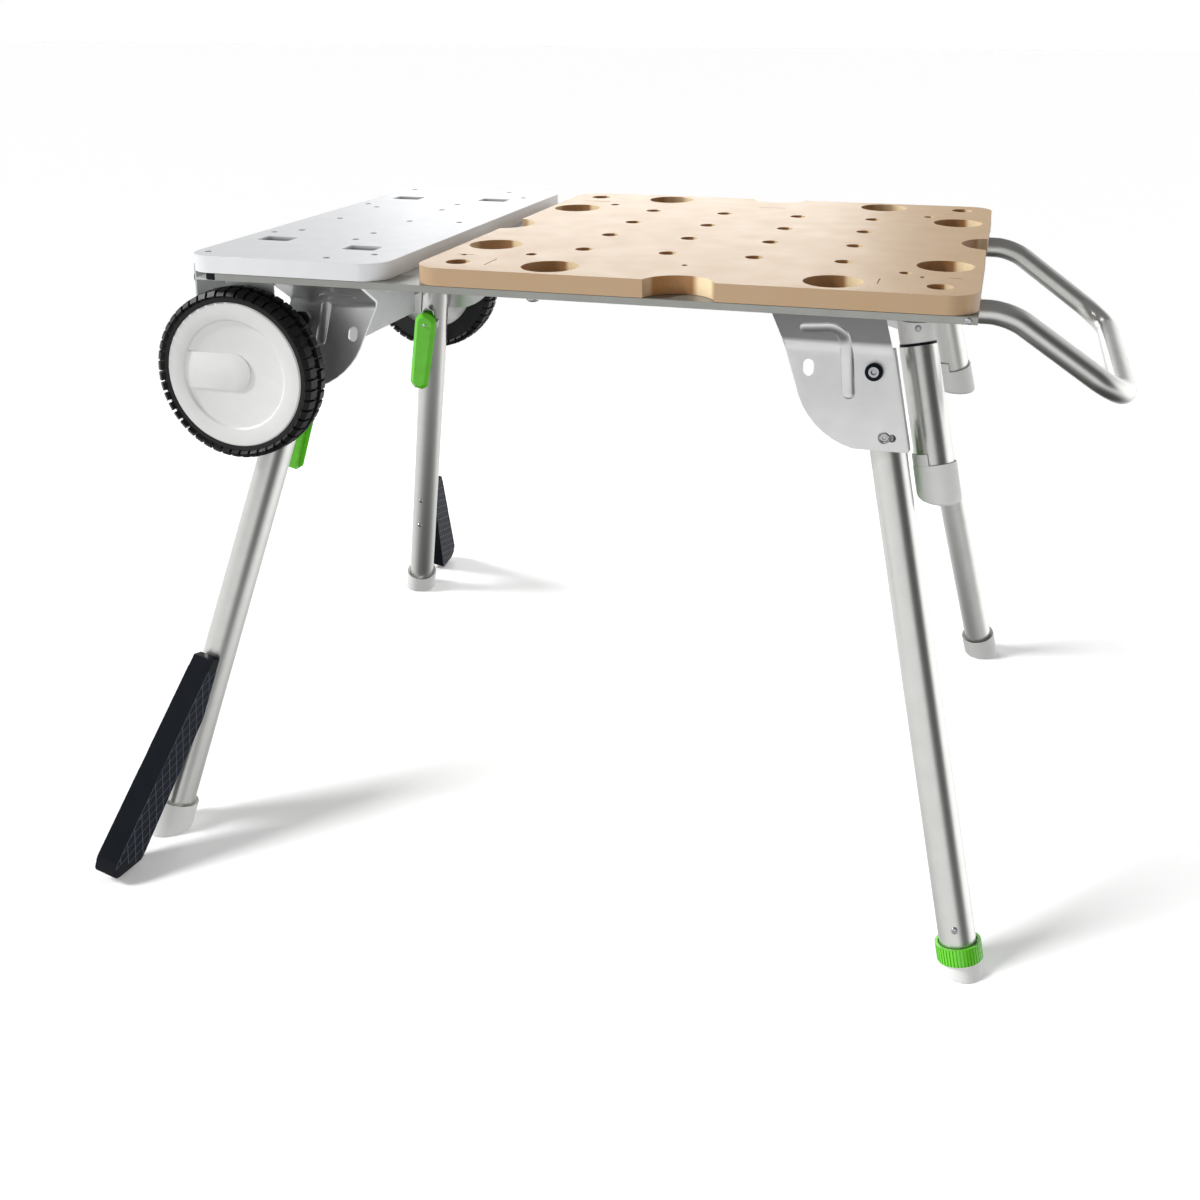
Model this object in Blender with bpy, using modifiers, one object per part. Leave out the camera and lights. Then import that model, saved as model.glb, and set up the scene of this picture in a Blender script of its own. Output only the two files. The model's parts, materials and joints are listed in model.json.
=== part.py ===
"""Folding saw stand: a wooden work board and a side board on two rails, four
splayed folding legs, a handle loop, two wheels and two rest stubs.

Metres, +Z up, floor at z = 0, +X along the stand towards the handle.
X is measured from the middle of the work board, and one empty at the end
moves everything so that the origin is under the middle of the whole stand.
"""
from math import acos, asin, atan2, copysign, cos, degrees, pi, radians, sin, sqrt, tan

import bmesh
import bpy
from mathutils import Matrix, Vector

# Clearances and sheet metal
GAP = 0.0003            # between pieces that touch
SHEET = 0.0025          # thickness of every folded sheet piece
SIDES = 20              # facets round a tube or a turned piece
FEW_SIDES = 12          # facets round a small pin or hole
HOLE_SIDES = 16         # facets round a clamping hole, an axle or a buffer
WIDE_SIDES = 24         # facets round a large hole
TINY_SIDES = 8          # facets round a rivet or a screw hole
WHEEL_SIDES = 40        # facets round a tyre
WELD = 0.000001         # points this close become one
SHARP_ANGLE = 35        # degrees between faces that stay sharp

# Boards
TOP_HEIGHT = 0.674      # floor to the top of both boards
BOARD_THICK = 0.019
BOARD_LENGTH = 0.575
BOARD_WIDTH = 0.570
BOARD_CORNER = 0.030
DOG_PITCH = 0.096       # grid of clamping holes
DOG_COUNT = 4
DOG_RADIUS = 0.010
FINGER_RADIUS = 0.030   # large holes near the edges
FINGER_INSET = 0.038    # edge of the board to a large hole's centre
FINGER_ALONG = 0.147    # large holes by the long edges, from the middle
FINGER_ACROSS = 0.142   # large holes by the ends, from the middle
CORNER_INSET = 0.038    # corner hole to both edges
CORNER_RADIUS = 0.013
NOTCH_RADIUS = 0.038    # round notch in the middle of each edge
NOTCH_DEPTH = 0.028
DOG_TURN_ALONG = 2.3    # degrees that each clamping hole's facets turn from the last
DOG_TURN_ACROSS = 1.1
# Small holes and slots are given as distances in from two edges of their board:
# plus from the right or rear edge, minus from the left or front edge.
LOCATING_RADIUS = 0.0065
LOCATING_HOLES = ((-0.0985, -0.097), (0.0755, -0.097), (-0.0785, 0.102), (0.0765, 0.103))
PIN_RADIUS = 0.004
PIN_HOLES = ((-0.0285, -0.077), (0.0565, -0.080), (-0.2745, -0.080))
SIDE_LENGTH = 0.235
SIDE_CORNER = 0.028
BOARD_SPACE = 0.0325    # between the two boards
SIDE_HOLE_RADIUS = 0.0045
SIDE_HOLES = (
    (-0.0165, -0.023), (0.0745, -0.023), (-0.0165, -0.155), (-0.0415, -0.176), (-0.0415, -0.268),
    (-0.0165, 0.180), (-0.0415, 0.203), (0.0995, -0.177), (0.0995, -0.134), (0.0335, -0.053),
    (0.0975, -0.269), (0.0975, 0.205), (0.0975, 0.155), (0.0335, -0.276), (-0.0155, 0.034),
    (0.0745, 0.025), (0.0335, 0.074),
)
SLOT_LENGTH = 0.040
SLOT_WIDTH = 0.025
SLOT_CORNER = 0.004
SLOTS = ((-0.0455, -0.115), (-0.0455, 0.115), (0.0655, -0.085), (0.0655, 0.104))

# Rails and cross rails under the boards
RAIL_WIDTH = 0.045
RAIL_HEIGHT = 0.0075
RAIL_INSET = 0.037      # left edge of the side board to the rails' ends
PLUG_LENGTH = 0.012
PLUG_ROUND = 0.004
CROSS_HEIGHT = 0.0325
CROSS_WIDTH = 0.046
CROSS_END = 0.042       # right end of the board in to the right cross rail
MIDDLE_OVERLAP = 0.0175  # middle cross rail under each board
MIDDLE_HEIGHT = 0.020

# Handle loop
HANDLE_RADIUS = 0.0125
HANDLE_EDGE = 0.100     # edge of the board in to the arms
HANDLE_DROP = 0.0165    # board underside to the arms' axis
HANDLE_TAIL = 0.1675    # right end of the board in to the arms' ends
HANDLE_OUT = 0.0275     # right end of the board out to the arms' bends
HANDLE_BEND = 0.060     # bend radius of the arms
GRIP_OUT = 0.1465       # right end of the board out to the grip
GRIP_NARROW = 0.015     # how far the loop draws in towards the grip
GRIP_DROP = 0.104       # board underside to the grip's axis
GRIP_BEND = 0.045

# Legs. The spreads run from a pivot to where the leg's axis meets the floor.
LEG_RADIUS = 0.0185
LEG_WALL = 0.002
PIVOT_DROP = 0.076      # board underside to the leg pivots
RIGHT_PIVOT_END = 0.098  # right end of the board in to the right pivots
RIGHT_PIVOT_EDGE = 0.066  # edge of the board in to the right pivots
RIGHT_SPREAD_X = 0.1165
RIGHT_SPREAD_Y = 0.1165
LEFT_PIVOT_END = 0.0475  # left end of the rails in to the left pivots
LEFT_PIVOT_EDGE = 0.1146  # edge of the board in to the left pivots
LEFT_SPREAD_X = 0.1305
LEFT_SPREAD_Y = 0.1636
LEFT_FOLD_SLOPE = 11.5  # degrees below level when a left leg is folded
FOOT_RADIUS = 0.023
FOOT_HEIGHT = 0.034
FOOT_SOLE = 0.014       # tube end to the floor along the leg
RING_RADIUS = 0.023
RING_HEIGHT = 0.024
SPIGOT_LENGTH = 0.015
LEVEL_FOOT_RADIUS = 0.021
LEVEL_FOOT_HEIGHT = 0.012
STEM_RADIUS = 0.008
STEM_LENGTH = 0.048

# Gussets, pivots and latches
PLATE_GAP = 0.001       # leg to gusset plate
GUSSET_RADIUS = 0.080   # round edge about the pivot
GUSSET_REACH = 0.102    # pivot to the far top corner
GUSSET_BEND = 0.024     # pivot up to the bend
GUSSET_CORNER = 0.0528  # pivot up to the far corner
GUSSET_SLOPE = 193      # degrees round the pivot where the round edge turns straight
GUSSET_FOOT = 0.078     # pivot down to the lower edge
RETURN_DEPTH = 0.027    # side return, measured in from the plate
TOP_TAB = 0.025         # tab that lies in the rail
BOLT_RADIUS = 0.005
BOLT_HEAD = 0.007
WASHER_RADIUS = 0.0095
WASHER_THICK = 0.0018
NUT_RADIUS = 0.0075
NUT_LENGTH = 0.0065
LOCK_REACH = 0.066      # pivot to lock pin
LOCK_RADIUS = 0.005
LOCK_SLOT = 0.006       # extra length of the folded lock hole
LOCK_HEAD = 0.0085
LOCK_HEAD_THICK = 0.003
LEVER_REACH = 0.085     # pivot to the lever's rivet
LEVER_STAND = 0.0085    # leg surface to the rivet's axis
LEVER_WIDTH = 0.018
LEVER_LENGTH = 0.118
LEVER_SPREAD = 0.019    # how far the lever's end stands off
LEVER_THICK = 0.0065
LEVER_ROUND = 0.002
TONGUE_GAP = 0.0012     # leg surface to the tongue under the pin's head
TONGUE_THICK = 0.0024
TONGUE_CLEAR = 0.0018   # tongue's end to the lock pin
EAR_THICK = 0.003
EAR_RADIUS = 0.0055
RIVET_RADIUS = 0.002
RIVET_HEAD = 0.0034

# Pedals on the left legs
PEDAL_WIDTH = 0.026
PEDAL_TOP = 0.393       # pivot to the pedal's top, along the leg
PEDAL_LEAVE = 0.475     # where it leaves the leg
PEDAL_TIP = 0.6385
PEDAL_OUT = 0.1115      # leg axis to the tip
PEDAL_DEPTH = 0.046     # heel to tip
PEDAL_RISE = 0.0105     # heel above tip, along the leg
PEDAL_NOSE = 0.022      # height of the round nose
PEDAL_NECK = 0.009      # thickness at the top
PEDAL_THROAT = 0.030    # radius where it leaves the leg
PEDAL_ROUND = 0.010
PEDAL_HEEL_ROUND = 0.004
PEDAL_EDGE = 0.003

# Wheels
WHEEL_END = 0.0024      # left end of the rails in to the axle
WHEEL_DROP = 0.119      # board underside to the axle
WHEEL_RADIUS = 0.0953
WHEEL_WIDTH = 0.031
WHEEL_EDGE = 0.0168     # edge of the board in to a tyre's outer face
TREAD_SHARE = 0.62      # flat part of the tread
TYRE_ROUND_OUT = 0.4    # where the tyre's wall starts to round, as a share of its height
TYRE_ROUND_IN = 0.15
TYRE_SHOULDER = 0.88
TYRE_LIP = 0.0005
AXLE_RADIUS = 0.006
RIM_RADIUS = 0.0833     # cover disc edge
BARREL_RADIUS = 0.0778
BARREL_WALL = 0.004
HUB_WEB = 0.003
BOSS_RADIUS = 0.016
COVER_THICK = 0.0040
GROOVE_RADIUS = 0.0665
GROOVE_WIDTH = 0.0055
GROOVE_DEPTH = 0.0018
BLACK_WALL_RADIUS = 0.066
COVER_EDGE = 0.0015     # chamfer of the cover disc
HUB_SIDES = 28
BRACKET_EDGE = 0.0645   # edge of the board in to a bracket
BRACKET_LEFT = 0.0557   # axle to the bracket's left and right edges
BRACKET_RIGHT = 0.0281
BRACKET_ROUND = 0.020   # round lower end of a bracket
BRACKET_TAB = 0.054
CARRIER_OUT = 0.057     # left end of the rails out to the carrier's lip
CARRIER_IN = 0.0205     # left end of the rails in to the carrier's wall
CARRIER_LIP = 0.040
CARRIER_WALL = 0.140
CARRIER_WALL_EDGE = 0.135  # edge of the board in to the wall
BUFFER_RADIUS = 0.011
BUFFER_THICK = 0.012
BUFFER_EDGE = 0.070     # edge of the board in to the buffers

# Rest stubs
STUB_RADIUS = 0.020
STUB_WALL = 0.002
STUB_EDGE = 0.1195      # edge of the board in to the stubs' tops
STUB_IN = 0.024         # middle of the right cross rail in to the stubs' tops
STUB_LEAN = 0.0355      # how far a stub's foot leans out, both ways
STUB_CAP_RADIUS = 0.0225
STUB_CAP_HEIGHT = 0.038
STUB_SOLE = 0.006
COLLAR_RADIUS = 0.0185  # plug that stands on a stub's top
COLLAR_HEIGHT = 0.027
COLLAR_SPIGOT = 0.015   # its part inside the tube

# Heights and edges that follow from the driving dimensions
BOARD_BOTTOM = TOP_HEIGHT - BOARD_THICK
RAIL_TOP = BOARD_BOTTOM - GAP
RAIL_BOTTOM = RAIL_TOP - RAIL_HEIGHT
RAIL_OUTER_Y = BOARD_WIDTH / 2
RAIL_INNER_Y = RAIL_OUTER_Y - RAIL_WIDTH
BOARD_END = BOARD_LENGTH / 2
CROSS_END_Y = RAIL_INNER_Y - GAP
SIDE_RIGHT_X = -BOARD_END - BOARD_SPACE
SIDE_X = SIDE_RIGHT_X - SIDE_LENGTH / 2
RAIL_LEFT_X = SIDE_X - SIDE_LENGTH / 2 + RAIL_INSET
PIVOT_Z = BOARD_BOTTOM - PIVOT_DROP
AXLE_Z = BOARD_BOTTOM - WHEEL_DROP
WHEEL_X = RAIL_LEFT_X + WHEEL_END
WHEEL_Y = RAIL_OUTER_Y - WHEEL_EDGE - WHEEL_WIDTH / 2
BRACKET_Y = RAIL_OUTER_Y - BRACKET_EDGE
BRACKET_LEFT_X = WHEEL_X - BRACKET_LEFT
BRACKET_RIGHT_X = WHEEL_X + BRACKET_RIGHT
CARRIER_LEFT_X = RAIL_LEFT_X - CARRIER_OUT
CARRIER_RIGHT_X = RAIL_LEFT_X + CARRIER_IN
CARRIER_WALL_Y = RAIL_OUTER_Y - CARRIER_WALL_EDGE
BUFFER_Y = RAIL_OUTER_Y - BUFFER_EDGE
CROSS_RIGHT_X = BOARD_END - CROSS_END
STUB_Y = RAIL_OUTER_Y - STUB_EDGE
STUB_TOP_X = CROSS_RIGHT_X - STUB_IN
STUB_FOOT_X = STUB_TOP_X + STUB_LEAN
HANDLE_ARM_Y = RAIL_OUTER_Y - HANDLE_EDGE
HANDLE_INNER_X = BOARD_END - HANDLE_TAIL
HANDLE_BEND_X = BOARD_END + HANDLE_OUT
GRIP_X = BOARD_END + GRIP_OUT
GRIP_Y = HANDLE_ARM_Y - GRIP_NARROW
RIGHT_PIVOT_X = BOARD_END - RIGHT_PIVOT_END
RIGHT_PIVOT_Y = RAIL_OUTER_Y - RIGHT_PIVOT_EDGE
RIGHT_FOOT_X = RIGHT_PIVOT_X + RIGHT_SPREAD_X
RIGHT_FOOT_Y = RIGHT_PIVOT_Y + RIGHT_SPREAD_Y
LEFT_PIVOT_X = RAIL_LEFT_X + LEFT_PIVOT_END
LEFT_PIVOT_Y = RAIL_OUTER_Y - LEFT_PIVOT_EDGE
LEFT_FOOT_X = LEFT_PIVOT_X - LEFT_SPREAD_X
LEFT_FOOT_Y = LEFT_PIVOT_Y + LEFT_SPREAD_Y
PLATE_INNER = LEG_RADIUS + PLATE_GAP
PLATE_OUTER = PLATE_INNER + SHEET
REST_Z = AXLE_Z - WHEEL_RADIUS
CUT_DEPTH = 0.1         # reach of the cutters that level the feet
CUT_WIDE = 2.0          # half their width

# Which way a 2D outline's X, Y and its extrusion point
AXES_XY = Matrix.Identity(4)
AXES_YZ = Matrix(((0, 0, 1, 0), (1, 0, 0, 0), (0, 1, 0, 0), (0, 0, 0, 1)))
AXES_ZX = Matrix(((0, 1, 0, 0), (0, 0, 1, 0), (1, 0, 0, 0), (0, 0, 0, 1)))
AXES_XZ = Matrix(((1, 0, 0, 0), (0, 0, -1, 0), (0, 1, 0, 0), (0, 0, 0, 1)))

END_NAMES = {1: "right", -1: "left"}
SIDE_NAMES = {1: "rear", -1: "front"}


def clear_scene():
    for obj in list(bpy.data.objects):
        bpy.data.objects.remove(obj, do_unlink=True)


def make_collection(name):
    group = bpy.data.collections.new(name)
    bpy.context.scene.collection.children.link(group)
    return group


def make_material(name, colour, roughness, metallic=0.0):
    material = bpy.data.materials.new(name)
    material.use_nodes = True
    shader = material.node_tree.nodes["Principled BSDF"]
    shader.inputs["Base Color"].default_value = (*colour, 1.0)
    shader.inputs["Roughness"].default_value = roughness
    shader.inputs["Metallic"].default_value = metallic
    return material


clear_scene()
PARTS = make_collection("saw_stand")
CUTTERS = make_collection("cutters")

MDF = make_material("mdf", (0.63, 0.47, 0.30), 0.75)
WHITE_LAMINATE = make_material("white_laminate", (0.76, 0.77, 0.77), 0.45)
GREY_PAINT = make_material("grey_powder_coat", (0.60, 0.60, 0.58), 0.42)
TUBE_PAINT = make_material("silver_tube_coat", (0.66, 0.66, 0.64), 0.35)
GREY_PLASTIC = make_material("light_grey_plastic", (0.74, 0.74, 0.73), 0.45)
GREEN_PLASTIC = make_material("green_plastic", (0.08, 0.38, 0.02), 0.38)
BLACK_PLASTIC = make_material("black_plastic", (0.010, 0.012, 0.017), 0.55)
TYRE_RUBBER = make_material("tyre_rubber", (0.012, 0.012, 0.013), 0.75)
ZINC = make_material("zinc_plated_steel", (0.62, 0.62, 0.61), 0.30, 1.0)


# Outlines

def arc(centre_x, centre_y, radius, start, end, steps):
    """Points on an arc, angles in degrees, both ends included."""
    points = []
    for i in range(steps + 1):
        angle = radians(start + (end - start) * i / steps)
        points.append((centre_x + radius * cos(angle), centre_y + radius * sin(angle)))
    return points


def circle(centre_x, centre_y, radius, sides, start=0.0):
    return arc(centre_x, centre_y, radius, start, start + 360, sides)[:-1]


def rectangle(low_x, low_y, high_x, high_y):
    return [(low_x, low_y), (high_x, low_y), (high_x, high_y), (low_x, high_y)]


def rounded(corners, steps=4):
    """Outline with each corner (x, y, radius) filleted."""
    points = []
    for i, (x, y, radius) in enumerate(corners):
        here = Vector((x, y))
        before = (Vector(corners[i - 1][:2]) - here).normalized()
        after = (Vector(corners[(i + 1) % len(corners)][:2]) - here).normalized()
        if radius == 0:
            points.append((x, y))
            continue
        half = acos(max(-1.0, min(1.0, before.dot(after)))) / 2
        middle = here + (before + after).normalized() * (radius / sin(half))
        first = here + before * (radius / tan(half)) - middle
        last = here + after * (radius / tan(half)) - middle
        sweep = first.angle_signed(last)
        for k in range(steps + 1):
            turned_by = Matrix.Rotation(-sweep * k / steps, 2)
            points.append(tuple(middle + turned_by @ first))
    return points


def rounded_rectangle(centre_x, centre_y, length, width, radius):
    corners = rectangle(centre_x - length / 2, centre_y - width / 2,
                        centre_x + length / 2, centre_y + width / 2)
    return rounded([(x, y, radius) for x, y in corners])


def strip(line, thick=SHEET):
    """Outline of a folded sheet that follows a centre line, with mitred bends."""
    points = [Vector(p) for p in line]
    normals = []
    for a, b in zip(points, points[1:]):
        along = (b - a).normalized()
        normals.append(Vector((-along.y, along.x)))
    offsets = [normals[0]]
    for n, m in zip(normals, normals[1:]):
        offsets.append((n + m) / (1 + n.dot(m)))
    offsets.append(normals[-1])
    left = [tuple(p + o * thick / 2) for p, o in zip(points, offsets)]
    right = [tuple(p - o * thick / 2) for p, o in zip(points, offsets)]
    return left + right[::-1]


# Solids

def finish(name, work):
    """Turn a bmesh into a mesh that faces out and is smooth on its round sides."""
    bmesh.ops.recalc_face_normals(work, faces=work.faces)
    mesh = bpy.data.meshes.new(name)
    work.to_mesh(mesh)
    work.free()
    mesh.shade_smooth()
    mesh.set_sharp_from_angle(angle=radians(SHARP_ANGLE))
    return mesh


def to_mesh(name, data, modifier=None):
    """Evaluate a curve, or a profile with its modifier, as one welded mesh."""
    source = bpy.data.objects.new(name, data)
    bpy.context.scene.collection.objects.link(source)
    if modifier:
        modifier(source)
    graph = bpy.context.evaluated_depsgraph_get()
    mesh = bpy.data.meshes.new_from_object(source.evaluated_get(graph))
    bpy.data.objects.remove(source, do_unlink=True)
    kept_in = bpy.data.curves if isinstance(data, bpy.types.Curve) else bpy.data.meshes
    kept_in.remove(data)
    work = bmesh.new()
    work.from_mesh(mesh)
    bpy.data.meshes.remove(mesh)
    bmesh.ops.remove_doubles(work, verts=work.verts, dist=WELD)
    return finish(name, work)


def prism(name, loops, low, high):
    """Flat outline with holes, extruded along its own Z from low to high."""
    curve = bpy.data.curves.new(name, "CURVE")
    curve.dimensions = "2D"
    curve.fill_mode = "BOTH"
    curve.extrude = (high - low) / 2
    for loop in loops:
        spline = curve.splines.new("POLY")
        spline.points.add(len(loop) - 1)
        for point, (x, y) in zip(spline.points, loop):
            point.co = (x, y, 0, 1)
        spline.use_cyclic_u = True
    mesh = to_mesh(name, curve)
    mesh.transform(Matrix.Translation((0, 0, (low + high) / 2)))
    return mesh


def turned(name, profile, sides=SIDES, closed=False):
    """Profile of (radius, height) points turned about Z."""
    mesh = bpy.data.meshes.new(name)
    edges = [(i, i + 1) for i in range(len(profile) - 1)]
    if closed:
        edges.append((len(profile) - 1, 0))
    mesh.from_pydata([(radius, 0, height) for radius, height in profile], edges, [])

    def add_screw(obj):
        screw = obj.modifiers.new("turn", "SCREW")
        screw.steps = sides
        screw.render_steps = sides
        screw.use_merge_vertices = True
        screw.merge_threshold = 0.00001

    return to_mesh(name, mesh, add_screw)


def tube(name, points, radius):
    """Round bar along a line of points."""
    curve = bpy.data.curves.new(name, "CURVE")
    curve.dimensions = "3D"
    curve.bevel_depth = radius
    curve.bevel_resolution = 3
    curve.use_fill_caps = True
    spline = curve.splines.new("POLY")
    spline.points.add(len(points) - 1)
    for point, place in zip(spline.points, points):
        point.co = (*place, 1)
    return to_mesh(name, curve)


def rod(name, radius, low, high, sides=FEW_SIDES):
    """Round bar along Z from low to high."""
    work = bmesh.new()
    middle = Matrix.Translation((0, 0, (low + high) / 2))
    bmesh.ops.create_cone(work, cap_ends=True, segments=sides, radius1=radius,
                          radius2=radius, depth=high - low, matrix=middle)
    return finish(name, work)


def box(name, low, high):
    """Box between two opposite corners."""
    work = bmesh.new()
    low, high = Vector(low), Vector(high)
    place = Matrix.Translation((low + high) / 2) @ Matrix.Diagonal(high - low).to_4x4()
    bmesh.ops.create_cube(work, size=1.0, matrix=place)
    return finish(name, work)


def add_part(mesh, material, parent, frame=AXES_XY):
    obj = bpy.data.objects.new(mesh.name, mesh)
    PARTS.objects.link(obj)
    obj.data.materials.append(material)
    obj.parent = parent
    obj.matrix_basis = frame
    return obj


def add_cutter(mesh, parent, frame=AXES_XY):
    obj = bpy.data.objects.new(mesh.name, mesh)
    CUTTERS.objects.link(obj)
    obj.parent = parent
    obj.matrix_basis = frame
    obj.hide_render = True
    obj.display_type = "WIRE"
    return obj


def combine(obj, tool, operation="DIFFERENCE"):
    boolean = obj.modifiers.new(operation.lower(), "BOOLEAN")
    boolean.operation = operation
    boolean.object = tool


def add_leveller(root, name, height, away=-1):
    """Cutter that takes off what is below a height, or above it."""
    ends = sorted((height, height + away * CUT_DEPTH))
    mesh = box(name, (-CUT_WIDE, -CUT_WIDE, ends[0]), (CUT_WIDE, CUT_WIDE, ends[1]))
    return add_cutter(mesh, root)


def add_empty(name, parent, frame=AXES_XY):
    empty = bpy.data.objects.new(name, None)
    PARTS.objects.link(empty)
    empty.parent = parent
    empty.matrix_basis = frame
    return empty


def frame_of(axis_x, axis_y, axis_z, place):
    frame = Matrix((axis_x, axis_y, axis_z)).transposed().to_4x4()
    frame.translation = place
    return frame


def at(x, y, z):
    return Matrix.Translation((x, y, z))


# Legs: end is +1 at the handle and -1 at the wheels, side is +1 rear and -1 front

def leg_pivot(end, side):
    if end > 0:
        return Vector((RIGHT_PIVOT_X, side * RIGHT_PIVOT_Y, PIVOT_Z))
    return Vector((LEFT_PIVOT_X, side * LEFT_PIVOT_Y, PIVOT_Z))


def leg_foot(end, side):
    if end > 0:
        return Vector((RIGHT_FOOT_X, side * RIGHT_FOOT_Y, 0))
    return Vector((LEFT_FOOT_X, side * LEFT_FOOT_Y, 0))


def leg_length(end):
    return (leg_pivot(end, 1) - leg_foot(end, 1)).length


def pivot_axis(end, side):
    """Outward direction of a leg's pivot bolt: square to the leg and to X."""
    splay = leg_foot(end, side) - leg_pivot(end, side)
    angle = atan2(abs(splay.y), PIVOT_Z)
    return Vector((0, side * cos(angle), sin(angle)))


def leg_frame(end, side):
    """Z up the leg, Y out along the pivot bolt."""
    up = (leg_pivot(end, side) - leg_foot(end, side)).normalized()
    out = pivot_axis(end, side)
    return frame_of(out.cross(up), out, up, leg_pivot(end, side))


def gusset_frame(end, side):
    """X along the stand, Y out along the pivot bolt."""
    along = Vector((side, 0, 0))
    out = pivot_axis(end, side)
    return frame_of(along, out, along.cross(out), leg_pivot(end, side))


def leg_lean(end):
    """Angle in a gusset's plane between its upright and the leg."""
    return asin(abs(leg_pivot(end, 1).x - leg_foot(end, 1).x) / leg_length(end))


def fold_slope(end):
    return 0.0 if end > 0 else radians(LEFT_FOLD_SLOPE)


# Boards

def edge_run(half_along, half_across):
    """One edge of the work board from corner to corner, with its notch."""
    centre = half_across + NOTCH_RADIUS - NOTCH_DEPTH
    half_angle = degrees(acos((NOTCH_RADIUS - NOTCH_DEPTH) / NOTCH_RADIUS))
    notch = arc(centre, 0, NOTCH_RADIUS, 180 + half_angle, 180 - half_angle, 16)
    corner = arc(half_across - BOARD_CORNER, half_along - BOARD_CORNER, BOARD_CORNER, 0, 90, 6)
    return notch + corner


def board_outline():
    outline = []
    for quarter in range(4):
        halves = (BOARD_WIDTH / 2, BOARD_LENGTH / 2)
        along, across = halves if quarter % 2 == 0 else halves[::-1]
        turn = Matrix.Rotation(radians(90 * quarter), 2)
        outline += [tuple(turn @ Vector(p)) for p in edge_run(along, across)]
    return outline


def mirrored(x, y):
    return [(i * x, j * y) for i in (-1, 1) for j in (-1, 1)]


def from_edges(inset, length):
    """Middle of a hole on a board, given its distances in from two edges."""
    along, across = inset
    return copysign(length / 2, along) - along, copysign(BOARD_WIDTH / 2, across) - across


def add_work_board(root):
    loops = [board_outline()]
    middle = (DOG_COUNT - 1) / 2
    for i in range(DOG_COUNT):
        for j in range(DOG_COUNT):
            # each hole starts at another angle, so that no three corners of a row line up
            start = DOG_TURN_ALONG * i + DOG_TURN_ACROSS * j
            x, y = (i - middle) * DOG_PITCH, (j - middle) * DOG_PITCH
            loops.append(circle(x, y, DOG_RADIUS, HOLE_SIDES, start))
    for x, y in mirrored(FINGER_ALONG, BOARD_WIDTH / 2 - FINGER_INSET):
        loops.append(circle(x, y, FINGER_RADIUS, WIDE_SIDES))
    for x, y in mirrored(BOARD_END - FINGER_INSET, FINGER_ACROSS):
        loops.append(circle(x, y, FINGER_RADIUS, WIDE_SIDES))
    for x, y in mirrored(BOARD_END - CORNER_INSET, BOARD_WIDTH / 2 - CORNER_INSET):
        loops.append(circle(x, y, CORNER_RADIUS, HOLE_SIDES))
    for inset in LOCATING_HOLES:
        loops.append(circle(*from_edges(inset, BOARD_LENGTH), LOCATING_RADIUS, FEW_SIDES))
    for inset in PIN_HOLES:
        loops.append(circle(*from_edges(inset, BOARD_LENGTH), PIN_RADIUS, TINY_SIDES))
    add_part(prism("work_board", loops, BOARD_BOTTOM, TOP_HEIGHT), MDF, root)


def add_side_board(root):
    loops = [rounded_rectangle(0, 0, SIDE_LENGTH, BOARD_WIDTH, SIDE_CORNER)]
    for inset in SIDE_HOLES:
        loops.append(circle(*from_edges(inset, SIDE_LENGTH), SIDE_HOLE_RADIUS, TINY_SIDES))
    for inset in SLOTS:
        place = from_edges(inset, SIDE_LENGTH)
        loops.append(rounded_rectangle(*place, SLOT_LENGTH, SLOT_WIDTH, SLOT_CORNER))
    mesh = prism("side_board", loops, BOARD_BOTTOM, TOP_HEIGHT)
    add_part(mesh, WHITE_LAMINATE, root, at(SIDE_X, 0, 0))


# Rails

def channel(low, high, top, depth):
    """Centre line of a sheet channel that opens downwards."""
    half = SHEET / 2
    return [(low + half, top - depth), (low + half, top - half),
            (high - half, top - half), (high - half, top - depth)]


def add_rails(root):
    for side in (-1, 1):
        line = channel(side * RAIL_INNER_Y + min(side, 0) * RAIL_WIDTH,
                       side * RAIL_INNER_Y + max(side, 0) * RAIL_WIDTH, RAIL_TOP, RAIL_HEIGHT)
        mesh = prism(SIDE_NAMES[side] + "_rail", [strip(line)], RAIL_LEFT_X, BOARD_END)
        add_part(mesh, GREY_PAINT, root, AXES_YZ)
        half = RAIL_WIDTH / 2
        plug = rounded([(-half, 0, 0), (half, 0, 0), (half, PLUG_LENGTH, PLUG_ROUND),
                        (-half, PLUG_LENGTH, PLUG_ROUND)])
        mesh = prism(SIDE_NAMES[side] + "_rail_plug", [plug], RAIL_BOTTOM, RAIL_TOP)
        turn = Matrix.Rotation(radians(90), 4, "Z")
        middle_y = side * (RAIL_INNER_Y + RAIL_WIDTH / 2)
        add_part(mesh, BLACK_PLASTIC, root, at(RAIL_LEFT_X - GAP, middle_y, 0) @ turn)


def handle_axis_z():
    return BOARD_BOTTOM - HANDLE_DROP


def add_cross_rails(root):
    half = CROSS_WIDTH / 2
    line = channel(CROSS_RIGHT_X - half, CROSS_RIGHT_X + half, RAIL_TOP, CROSS_HEIGHT)
    mesh = prism("right_cross_rail", [strip(line)], -CROSS_END_Y, CROSS_END_Y)
    right = add_part(mesh, GREY_PAINT, root, AXES_XZ)
    arm_hole = rod("arm_hole", HANDLE_RADIUS + GAP, -CROSS_WIDTH, CROSS_WIDTH, SIDES)
    for side in (-1, 1):
        place = at(CROSS_RIGHT_X, side * HANDLE_ARM_Y, handle_axis_z()) @ AXES_YZ
        combine(right, add_cutter(arm_hole, root, place))
    line = channel(SIDE_RIGHT_X - MIDDLE_OVERLAP, -BOARD_END + MIDDLE_OVERLAP,
                   RAIL_TOP, MIDDLE_HEIGHT)
    mesh = prism("middle_cross_rail", [strip(line)], -CROSS_END_Y, CROSS_END_Y)
    add_part(mesh, GREY_PAINT, root, AXES_XZ)


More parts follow.
